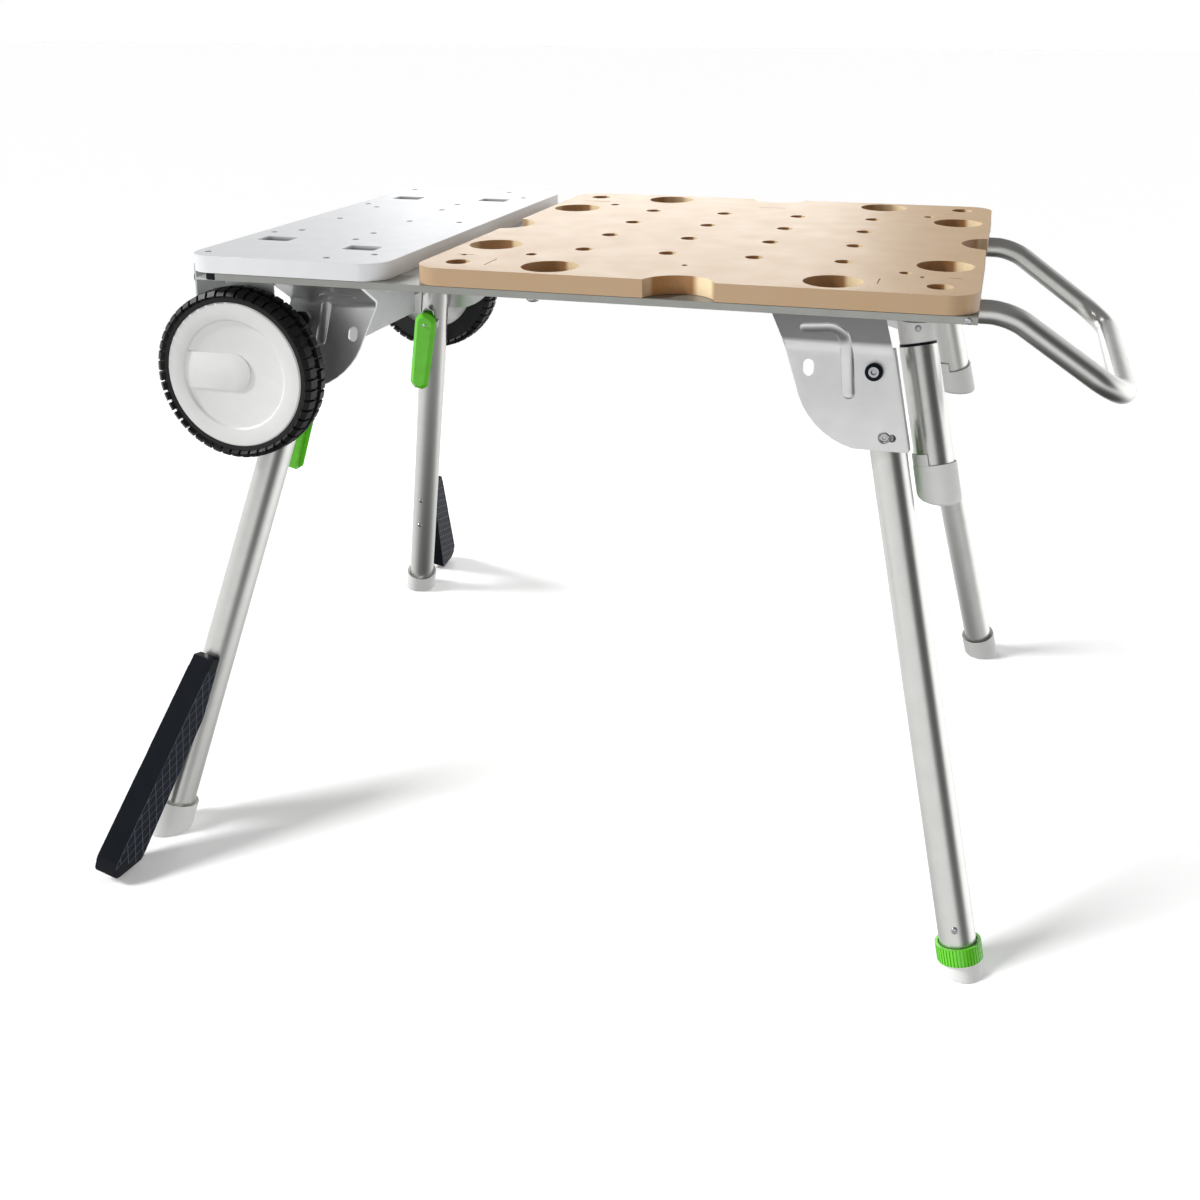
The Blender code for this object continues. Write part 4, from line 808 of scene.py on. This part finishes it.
# %% Pivot bolts and bushes
SOCKET_WALL, SOCKET_DEPTH, SOCKET_TAPER = 0.0026, 0.0040, 0.7
BUSH_BACK = PLATE_FACE + 0.0018
BUSH_PROUD = 0.0005     # past the bolt's head
BUSH_HOLE, BUSH_NECK, BUSH_RADIUS, BUSH_LIP = 0.0052, 0.0074, 0.0088, 0.0010
for name in LEGS:
    place = gusset_frame(name)
    out = place.col[1].xyz
    far = reach(name + "_pivot_bolt", place)[1].y
    head = place @ Vector((0, far, 0))
    bolt = from_cad(name + "_pivot_bolt")
    pick(bolt, lambda centre, normal: (centre - head).length < 2 * NEAR)
    bpy.ops.mesh.inset(thickness=SOCKET_WALL)
    bpy.ops.mesh.extrude_region_move(TRANSFORM_OT_translate={"value": -SOCKET_DEPTH * out})
    bpy.ops.transform.resize(value=(SOCKET_TAPER,) * 3, center_override=head - SOCKET_DEPTH * out)
    rounded(bolt, width=0.0003, angle=40)
    keep(bolt, name + "_pivot_bolt_look", "frame", "zinc_plated_steel", name + "_pivot_bolt")
    front = far + BUSH_PROUD - BUSH_BACK
    bush = turned([(BUSH_HOLE, front - BUSH_LIP), (BUSH_HOLE, front), (BUSH_NECK, front),
                   (BUSH_RADIUS, front - BUSH_LIP), (BUSH_RADIUS, 0.0), (BUSH_NECK, 0.0),
                   (BUSH_NECK, front - BUSH_LIP), (BUSH_HOLE, front - BUSH_LIP)], steps=48)
    smooth(bush, angle=40)
    bush.matrix_world = place @ Matrix.Translation((0, BUSH_BACK, 0)) @ ALONG_Y
    keep(bush, name + "_pivot_bush", "frame", "black_plastic")
print("bolts:", len(LEGS))

# %% [markdown]
# ## Feet
# Three legs end in a plastic cap. The cap is a cylinder with a rounded rim, and a slanted cut at the
# floor, because the leg leans and the sole has to lie flat.


# %% Foot caps
def set_down(piece, place):
    """Put a piece into a local frame and open it in edit mode there."""
    use(piece)
    piece.matrix_world = place
    settle(piece)
    edit(piece)


RIM_WIDTH, RIM_DEPTH = 0.0042, 0.004
FOOT_EDGE = 0.0010
SOLE = 0.00010          # just off the floor
for name in ("rear_right", "front_left", "rear_left"):
    place = leg_frame(name)
    bottom, top = reach(name + "_foot", place)
    foot = cylinder(top.y, bottom.z, top.z)
    pick(foot, lambda centre, normal: normal.z > SQUARE_ON)
    bpy.ops.mesh.inset(thickness=RIM_WIDTH)
    bpy.ops.transform.translate(value=(0, 0, -RIM_DEPTH))
    set_down(foot, place)
    bpy.ops.mesh.bisect(plane_co=(0, 0, SOLE), plane_no=(0, 0, 1), use_fill=True, clear_inner=True)
    rounded(foot, FOOT_EDGE)
    keep(foot, name + "_foot_look", name + "_leg", "light_grey_plastic", name + "_foot")
levelling_foot = softened("levelling_foot", "light_grey_plastic", FOOT_EDGE, angle=40)
print("levelling foot:", len(levelling_foot.data.polygons), "faces, cap:", len(foot.data.polygons))

# %% [markdown]
# ## Levelling ring
# The fourth foot screws in and out with a green ring. Ribs round the ring give the fingers grip.
# A cylinder with many sides has every second side pushed in.

# %% Levelling ring
RING_SIDES = 84
RING_RIM, RING_HOLLOW = 0.0030, 0.0028
GROOVE_EDGE, GROOVE_DEPTH = 0.0002, 0.0016
place = leg_frame("front_right")
bottom, top = reach("levelling_ring", place)
ring = cylinder(top.x, bottom.z, bottom.z + RING_HEIGHT, RING_SIDES)
pick(ring, lambda centre, normal: normal.z > SQUARE_ON)
bpy.ops.mesh.inset(thickness=RING_RIM)
bpy.ops.mesh.extrude_region_move(TRANSFORM_OT_translate={"value": (0, 0, -RING_HOLLOW)})


def is_groove(centre, normal):
    """Whether a face is one of every second side of the ring."""
    if abs(normal.z) > 0.1 or centre.xy.length < top.x - RING_RIM / 2:
        return False
    step = (centre.xy.angle_signed(Vector((1, 0))) / (2 * pi)) * RING_SIDES - 0.5
    return round(step) % 2 == 0


pick(ring, is_groove)
bpy.ops.mesh.inset(thickness=GROOVE_EDGE, use_individual=True)
bpy.ops.mesh.extrude_region_shrink_fatten(TRANSFORM_OT_shrink_fatten={"value": -GROOVE_DEPTH})
smooth(ring, angle=30)
ring.matrix_world = place
keep(ring, "levelling_ring_look", "levelling_ring", "green_plastic", "levelling_ring")
print("ring ribs:", RING_SIDES // 2)

# %% [markdown]
# ## Pedals
# Each left leg carries a moulded pedal to hold the stand down with a foot. A lattice of thin ribs
# stiffens its sides. Slanted cuts divide the sides into diamonds, and an inset of every diamond leaves
# a narrow frame round it. The frames are kept, with a little thickness, as the ribs' edges, which are
# coloured paler as a painted highlight.

# %% Pedals
PEDAL_TRIM = 0.011
for name in ("front_left", "rear_left"):
    place = leg_frame(name)
    top = reach(name + "_pedal", place)[1]
    pedal = from_cad(name + "_pedal")
    bpy.ops.mesh.bisect(plane_co=place @ Vector((0, 0, top.z - PEDAL_TRIM)), plane_no=place.col[2].xyz,
                        use_fill=True, clear_outer=True)
    rounded(pedal, width=0.0012, segments=3, angle=40)
    keep(pedal, name + "_pedal_look", name + "_leg", "black_plastic", name + "_pedal")
print("pedals:", len(pedal.data.polygons), "faces each")

# %% Pedal ribs
CELL = 0.0115
CUTS = 14               # on each side of the middle
CUT_LEANS = (-25, 59)
RIB_ENDS = (0.05, 0.90)     # share of the pedal's height
RIB_EDGE, RIB_PROUD = 0.0005, 0.0004
for name in ("front_left", "rear_left"):
    place = leg_frame(name)
    back = place.inverted()
    sideways = place.col[0].xyz
    bottom, top = reach(name + "_pedal", place)
    middle = (bottom + top) / 2
    lowest, highest = (bottom.z + share * (top.z - bottom.z) for share in RIB_ENDS)
    ribs = from_cad(name + "_pedal")
    for lean in CUT_LEANS:
        across = Matrix.Rotation(radians(lean), 3, "X") @ Vector((0, 1, 0))
        for step in range(-CUTS, CUTS + 1):
            edit(ribs)
            bpy.ops.mesh.bisect(plane_co=place @ (Vector((0, middle.y, middle.z)) + step * CELL * across),
                                plane_no=place.to_3x3() @ across)
    pick(ribs, lambda centre, normal: abs(normal.dot(sideways)) > SQUARE_ON)
    bpy.ops.mesh.inset(thickness=RIB_EDGE, use_individual=True)
    bpy.ops.mesh.delete(type="FACE")
    pick(ribs, lambda centre, normal: abs(normal.dot(sideways)) < SQUARE_ON
         or not lowest < (back @ centre).z < highest)
    bpy.ops.mesh.delete(type="FACE")
    apply_modifier(ribs, "SOLIDIFY", thickness=RIB_PROUD, offset=1.0)
    # The ribs' edges take a paler colour: a painted highlight
    keep(ribs, name + "_pedal_ribs", name + "_leg", "black_plastic", finish="painted_rib_highlight")
print("pedal ribs:", len(ribs.data.polygons), "faces each")

# %% [markdown]
# ## Wheels
# The tyre's section is drawn as a line and spun. Four spin steps make one tread block: three are
# pushed out and one stays low as a groove. The blocks of the two shoulders are half a block apart.

# %% Tyre
BLOCKS = 48
STEPS = 4               # spin steps to a block
TREAD = 0.0044
TREAD_START = 0.0895
MID_GROOVE = 0.0035
TYRE_OUTER = [(0.0833, 0.0115), (0.0833, 0.0150), (0.0860, 0.0155), (0.0885, 0.0152),
              (0.0924, 0.0126), (0.0931, 0.0040)]
TYRE_INNER = [(0.0931, -0.0040), (0.0924, -0.0126), (0.0885, -0.0152), (0.0860, -0.0155),
              (0.0660, -0.0155), (0.0660, -0.0121)]
tyre = turned(TYRE_OUTER + TYRE_INNER, BLOCKS * STEPS)


def is_block(centre, normal):
    """Whether a face belongs to a tread block."""
    if centre.xy.length < TREAD_START or abs(centre.z) < MID_GROOVE:
        return False
    step = round((centre.xy.angle_signed(Vector((1, 0))) / (2 * pi)) * BLOCKS * STEPS - 0.5)
    shift = 0 if centre.z > 0 else STEPS // 2
    return (step + shift) % STEPS != 0


pick(tyre, is_block)
bpy.ops.mesh.extrude_region_shrink_fatten(TRANSFORM_OT_shrink_fatten={"value": TREAD})
smooth(tyre, angle=30)
print("tread blocks:", 2 * BLOCKS)

# %% [markdown]
# The cover is a moulded disc with a raised rim, turned from a drawn line. A plain clip with one round
# end crosses the step at the rim.

# %% Wheel cover and clip
WHEEL = {}
for side, turn in (("front", AGAINST_Y), ("rear", ALONG_Y)):
    WHEEL[side] = Matrix.Translation(JOINTS[side + "_wheel_spin"]["pos_m"]) @ turn
RECESS = 0.0030
COVER_RADIUS = 0.0830
CLIP_START, CLIP_END = (-0.0655, -0.018), (0.021, 0.024)
CLIP_BACK, CLIP_PROUD = 0.0038, 0.0013
CLIP_ROUND = 0.0205
bottom, top = reach("front_wheel_cover", WHEEL["front"])
dish = top.z - RECESS
cover = turned([(0.0, dish), (0.0604, dish), (0.0616, dish + 0.0004), (0.0632, top.z - 0.0006),
                (0.0644, top.z), (0.0816, top.z), (COVER_RADIUS, top.z - 0.0014),
                (COVER_RADIUS, bottom.z), (0.0, bottom.z)], steps=120)
smooth(cover, angle=30)
clip = block((*CLIP_START, top.z - CLIP_BACK), (*CLIP_END, dish + CLIP_PROUD))
pick_edges(clip, lambda a, b: min(a.x, b.x) > CLIP_END[0] - NEAR and abs(a.z - b.z) > NEAR / 2)
bpy.ops.mesh.bevel(offset=CLIP_ROUND, segments=16, affect="EDGES")
pick(clip, lambda centre, normal: normal.z > SQUARE_ON)
bpy.ops.mesh.bevel(offset=0.0003, segments=2, affect="EDGES")
smooth(clip, angle=30)
print("cover:", len(cover.data.polygons), "faces")

# %% Both wheels
for side in SIDES:
    for piece, name, slot, nodes in (
            (tyre, "_tyre_look", "tyre_rubber", [side + "_tyre"]),
            (cover, "_wheel_cover_look", "light_grey_plastic", [side + "_wheel_cover"]),
            (clip, "_cover_clip", "light_grey_plastic", [])):
        keep(copied(piece, side + name, WHEEL[side]), side + name, side + "_wheel", slot, *nodes)
    softened(side + "_hub", "light_grey_plastic", width=0.0006)
for piece in (tyre, cover, clip):
    bpy.data.objects.remove(piece)
softened("axle", "zinc_plated_steel", width=0.0004)
print("wheels:", len(SIDES))

# %% [markdown]
# ## Handle
# The handle is one bent tube. Its middle line is drawn with sharp corners, beveling the corner points
# rounds the bends, and the line then becomes a tube. A bend of radius r that turns by an angle starts
# r times the tangent of half the angle before its corner.

# %% Handle
HANDLE_RADIUS = 0.0125
HANDLE_OUT = 0.0275
HANDLE_NARROW = 0.015
ARM_BEND, GRIP_BEND = 0.060, 0.045
low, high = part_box("handle")
arm_y, arm_z = high.y - HANDLE_RADIUS, high.z - HANDLE_RADIUS
start = Vector((low.x, arm_y, arm_z))
elbow = Vector((BOARD_END + HANDLE_OUT, arm_y, arm_z))
corner = Vector((high.x - HANDLE_RADIUS, arm_y - HANDLE_NARROW, low.z + HANDLE_RADIUS))
half = [start, elbow, corner]
line = drawn(half + [Vector((p.x, -p.y, p.z)) for p in half[::-1]])
for bend, before, after, radius in ((elbow, start, corner, ARM_BEND),
                                    (corner, elbow, corner - Vector((0, 1, 0)), GRIP_BEND)):
    turn = (bend - before).angle(after - bend)
    pick_points(line, lambda point: abs(point.x - bend.x) < NEAR and abs(abs(point.y) - bend.y) < NEAR)
    bpy.ops.mesh.bevel(offset=radius * tan(turn / 2), segments=14, affect="VERTICES")
handle = piped(line, HANDLE_RADIUS, steps=14)
smooth(handle, angle=40)
keep(handle, "handle_look", "frame", "silver_tube_coat", "handle")
print("handle:", len(handle.data.polygons), "faces")

# %% [markdown]
# ## Rest stubs
# Under the right cross rail hang two short tubes that the folded stand rests on. Each has a plug at its
# top, with a black seal under it, and a cap at its foot. The cap's rim is higher on one side, which is a
# half ring added to a plain cap. The stubs lean, so the cap is cut level at its foot and the plug at
# its top.


# %% Stub caps
def stub_frame(side):
    """Stub's own frame: Z up the tube, origin at the middle of its lower end."""
    points = [v.co for v in frame["nodes"][side + "_stub_tube"].data.vertices]
    points.sort(key=lambda p: p.z)
    count = len(points) // 2
    foot = sum(points[:count], Vector()) / count
    head = sum(points[count:], Vector()) / count
    z = (head - foot).normalized()
    x = Vector((0, 1, 0)).cross(z).normalized()
    return axes(x, z.cross(x), z, foot)


STEP_UP = 0.012
LIP_INSET, LIP_ROOT, LIP_START = 0.0004, 0.002, -0.004
CAP_SPARE = 0.004       # what the level cut takes off
STUB_WIDE = 0.05        # more than a stub's width
CAP_ROUND = 0.0060
for side in SIDES:
    place = stub_frame(side)
    bottom, top = reach(side + "_stub_cap", place)
    cap = cylinder(top.y, bottom.z - CAP_SPARE, top.z)
    lip = cylinder(top.y - LIP_INSET, top.z - LIP_ROOT, top.z + STEP_UP)
    cut(lip, block((LIP_START, -STUB_WIDE, bottom.z), (STUB_WIDE, STUB_WIDE, top.z + STUB_WIDE)))
    joined(cap, lip)
    set_down(cap, place)
    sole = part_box(side + "_stub_cap")[0].z
    bpy.ops.mesh.bisect(plane_co=(0, 0, sole), plane_no=(0, 0, 1), use_fill=True, clear_inner=True)
    pick(cap, lambda centre, normal: normal.z < -SQUARE_ON and centre.z < sole + NEAR)
    bpy.ops.mesh.bevel(offset=CAP_ROUND, segments=5, affect="EDGES")
    rounded(cap, FOOT_EDGE)
    keep(cap, side + "_stub_cap_look", "frame", "light_grey_plastic", side + "_stub_cap")
print("stub caps:", len(SIDES))

# %% Stub tubes, seals and plugs
SEAL_INNER, SEAL_OUTER, SEAL_HEIGHT = 0.0170, 0.0191, 0.0026
SEAL_GAP, COLLAR_GAP = 0.0001, 0.0004       # above the end of the tube
for side in SIDES:
    place = stub_frame(side)
    tube_end = reach(side + "_stub_tube", place)[1].z
    softened(side + "_stub_tube", "silver_tube_coat", width=0.0004)
    seal = turned([(SEAL_INNER, 0.0), (SEAL_OUTER, 0.0), (SEAL_OUTER, SEAL_HEIGHT),
                   (SEAL_INNER, SEAL_HEIGHT), (SEAL_INNER, 0.0)], steps=64)
    smooth(seal, angle=30)
    seal.matrix_world = place @ Matrix.Translation((0, 0, tube_end + SEAL_GAP))
    keep(seal, side + "_stub_seal", "frame", "black_plastic")
    top = reach(side + "_stub_collar", place)[1]
    collar = cylinder(top.y, tube_end + COLLAR_GAP, top.z)
    set_down(collar, place)
    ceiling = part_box(side + "_stub_collar")[1].z
    bpy.ops.mesh.bisect(plane_co=(0, 0, ceiling), plane_no=(0, 0, 1), use_fill=True, clear_outer=True)
    rounded(collar, width=0.0005)
    keep(collar, side + "_stub_collar_look", "frame", "light_grey_plastic", side + "_stub_collar")
print("stubs:", len(SIDES))

# %% [markdown]
# ## Screws
# One pan-head screw is modelled: a short cylinder with a rounded rim and a cross cut into it. Copies
# hold the pedals to the legs, the levelling foot's sleeve to its leg, the boards to the rails and the
# stubs' plugs to the cross rail. The two under the rails are larger.

# %% One screw
SCREW_RADIUS, SCREW_HEIGHT = 0.0034, 0.0019
SCREW_ROUND = 0.0014
CROSS_LONG, CROSS_WIDE, CROSS_FLOOR = 0.0019, 0.0005, 0.0008
screw = cylinder(SCREW_RADIUS, 0.0, SCREW_HEIGHT, sides=32)
pick_edges(screw, lambda a, b: min(a.z, b.z) > SCREW_HEIGHT / 2)
bpy.ops.mesh.bevel(offset=SCREW_ROUND, segments=4, affect="EDGES")
for x, y in ((CROSS_LONG, CROSS_WIDE), (CROSS_WIDE, CROSS_LONG)):
    cut(screw, block((-x, -y, CROSS_FLOOR), (x, y, 2 * SCREW_HEIGHT)))
smooth(screw, angle=30)
print("screw:", len(screw.data.polygons), "faces")

# %% Screws in their places
SUNK = 0.0002
RAIL_SCREW_X, RAIL_SCREW_IN = -0.1545, 0.0075
END_SCREW_X = 0.279
PLUG_SCREW_X, PLUG_SCREW_SUNK, PLUG_SCREW_DOWN = 0.004, 0.0007, 0.015
LEG_SCREWS = (("front_right", -0.5555, 1), ("front_left", -0.4195, -1), ("front_left", -0.4695, -1),
              ("rear_left", -0.4195, -1), ("rear_left", -0.4695, -1))
LARGE_AND_DOWN = Matrix.Rotation(radians(180), 4, "X") @ Matrix.Scale(2.0, 4)
FACING = {1: ALONG_Y, -1: ALONG_Y.inverted()}
places = []
for name, height, face in LEG_SCREWS:
    spot = Matrix.Translation((0, face * (LEG_RADIUS - SUNK), height))
    places.append((name + "_leg", leg_frame(name) @ spot @ FACING[face]))
for side, face in (("front", -1), ("rear", 1)):
    low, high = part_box(side + "_rail")
    edge = low.y if face < 0 else high.y
    spot = Matrix.Translation((BOARD_X + RAIL_SCREW_X, edge - face * RAIL_SCREW_IN, low.z))
    places.append(("frame", spot @ LARGE_AND_DOWN))
    spot = Matrix.Translation((BOARD_X + END_SCREW_X, edge - face * SUNK, (low.z + high.z) / 2))
    places.append(("frame", spot @ FACING[face]))
    stub = stub_frame(side)
    top = reach(side + "_stub_collar", stub)[1]
    spot = Matrix.Translation((PLUG_SCREW_X, face * (top.x - PLUG_SCREW_SUNK), top.z - PLUG_SCREW_DOWN))
    places.append(("frame", stub @ spot @ FACING[face]))
for count, (body, place) in enumerate(places):
    keep(copied(screw, "screw", place), "screw_%d" % count, body, "zinc_plated_steel")
bpy.data.objects.remove(screw)
print("screws:", len(places))

# %% [markdown]
# ## Studio
# The stand is on a floor of white paper that runs far back. The floor glows a little, so that it stays
# white under the stand. It is hidden from reflections and bounced light, because silver only looks like
# metal when it has something dark to mirror.

# %% Floor
PAPER_FUZZ = 400.0      # to the metre, so about 2.5 mm each
use_nothing()
bpy.ops.mesh.primitive_plane_add(size=60.0, location=(0, 0, -0.0005))
floor = bpy.context.object
floor.name = "floor"
floor.visible_glossy = False
floor.visible_diffuse = False
tree, place = start_finish("floor", "white_paper")
fuzz = add(tree, "TexNoise", {"Vector": place["Object"], "Scale": PAPER_FUZZ})["Fac"]
colour = add(tree, "Mix", {0: fuzz, 6: linear("#f6f6f6"), 7: linear("#f0f0f0")}, data_type="RGBA")[2]
end_finish(tree, {"Base Color": colour, "Roughness": 0.9, "Emission Color": linear("#ffffff"),
                  "Emission Strength": 0.12})
floor.data.materials.append(MATERIALS["floor"])
print("floor ready")

# %% [markdown]
# The room is bright at the height of the eye and dark overhead and underfoot. It has a dark patch in
# front on the right, which draws the dark bands on the tubes, and a bright patch behind on the right,
# which draws their light edges.

# %% Room
# A height is the sine of an angle above the eye. A patch is a direction, and its edges are cosines.
DARK_PATCH = (0.78, -0.60, 0.15)
BRIGHT_PATCH = (0.84, 0.53, 0.10)
world = bpy.context.scene.world or bpy.data.worlds.new("room")
bpy.context.scene.world = world
world.use_nodes = True
tree = world.node_tree
tree.nodes.clear()
toward = add(tree, "TexCoord", {})["Generated"]
height = add(tree, "SeparateXYZ", {"Vector": toward})["Z"]
under = add(tree, "MapRange", {"Value": height, "From Min": -0.92, "From Max": -0.45,
                               "To Min": 0.02, "To Max": 1.0}, interpolation_type="SMOOTHSTEP")["Result"]
over = add(tree, "MapRange", {"Value": height, "From Min": 0.10, "From Max": 0.36,
                              "To Min": 1.0, "To Max": 0.18}, interpolation_type="SMOOTHSTEP")["Result"]
facing = add(tree, "VectorMath", {0: toward, 1: DARK_PATCH}, operation="DOT_PRODUCT")["Value"]
dark = add(tree, "MapRange", {"Value": facing, "From Min": 0.74, "From Max": 0.94,
                              "To Min": 1.0, "To Max": 0.04}, interpolation_type="SMOOTHSTEP")["Result"]
strength = add(tree, "Math", {0: under, 1: over}, operation="MULTIPLY")["Value"]
strength = add(tree, "Math", {0: strength, 1: dark}, operation="MULTIPLY")["Value"]
facing = add(tree, "VectorMath", {0: toward, 1: BRIGHT_PATCH}, operation="DOT_PRODUCT")["Value"]
bright = add(tree, "MapRange", {"Value": facing, "From Min": 0.60, "From Max": 0.95,
                                "To Min": 0.0, "To Max": 0.8}, interpolation_type="SMOOTHSTEP")["Result"]
strength = add(tree, "Math", {0: strength, 1: bright}, operation="ADD")["Value"]
room = add(tree, "Background", {"Color": (1.0, 1.0, 1.0, 1.0), "Strength": strength})["Background"]
add(tree, "OutputWorld", {"Surface": room})
print("room ready")

# %% [markdown]
# A broad lamp from the upper left lights the stand, and another lights only the floor. Only the legs,
# feet and pedals shade the second one, so the floor has soft shadows at the feet and none of the
# boards. A panel behind on the left gives the boards their sheen. A panel in front fills the shadows,
# and is hidden from reflections so that it doesn't show as a square in the tubes.


# %% Lamps
def group(name, pieces):
    """A collection that tells a lamp which pieces it lights, or which ones shade it."""
    members = bpy.data.collections.new(name)
    for piece in pieces:
        members.objects.link(piece)
    return members


def aimed(kind, name, spot, along, energy):
    """A lamp at a spot that shines along a direction."""
    bpy.ops.object.light_add(type=kind, location=spot)
    lamp = bpy.context.object
    lamp.name = name
    lamp.data.energy = energy
    lamp.rotation_euler = along.to_track_quat("-Z", "Y").to_euler()
    return lamp


SUN_SPOT = (-2, -2, 3)
side_lamp = aimed("SUN", "side_lamp", SUN_SPOT, along=Vector((0.78, 0.20, -0.59)), energy=3.0)
side_lamp.data.angle = radians(7)
side_lamp.light_linking.receiver_collection = group("all_but_floor", [floor])
linked = side_lamp.light_linking.receiver_collection.collection_objects[0]
linked.light_linking.link_state = "EXCLUDE"
floor_lamp = aimed("SUN", "floor_lamp", SUN_SPOT, along=Vector((0.66, 0.33, -0.68)), energy=3.3)
floor_lamp.data.angle = radians(18)
floor_lamp.light_linking.receiver_collection = group("floor_only", [floor])
NEAR_FLOOR = ("leg_tube_look", "foot_look", "pedal_look")
floor_lamp.light_linking.blocker_collection = group(
    "near_floor", [piece for piece in bpy.data.objects if piece.name.endswith(NEAR_FLOOR)])

AIM = Vector((-0.1, 0.0, 0.62))
spot = Vector((-0.42, 1.25, 1.0))
back_panel = aimed("AREA", "back_panel", spot, along=AIM - spot, energy=13.0)
back_panel.data.size = 1.1
spot = Vector((0.3, -2.0, 0.40))
front_panel = aimed("AREA", "front_panel", spot, along=AIM - spot, energy=20.0)
front_panel.data.size = 1.5
front_panel.visible_glossy = False
bpy.context.scene.view_settings.view_transform = "Standard"
print("lamps:", side_lamp.name, floor_lamp.name, back_panel.name, front_panel.name)

# %% [markdown]
# The camera stands in front on the right, a little above the boards. Its place, turn and lens were
# worked out from the grid of holes in the photograph. The shift puts the stand where the picture has
# it without tilting the camera.

# %% Camera
CAMERA_SPOT = (BOARD_X + 0.3091, -1.4794, 0.9338)
CAMERA_TURN = (radians(77.27), 0, radians(14.68))
bpy.ops.object.camera_add(location=CAMERA_SPOT, rotation=CAMERA_TURN)
camera = bpy.context.object
camera.data.lens = 38.65
camera.data.sensor_width = 36.0
camera.data.shift_x = -0.0619
camera.data.shift_y = -0.25
bpy.context.scene.camera = camera
print("camera at", [round(value, 3) for value in camera.location])

# %% [markdown]
# ## Finish

use_nothing()
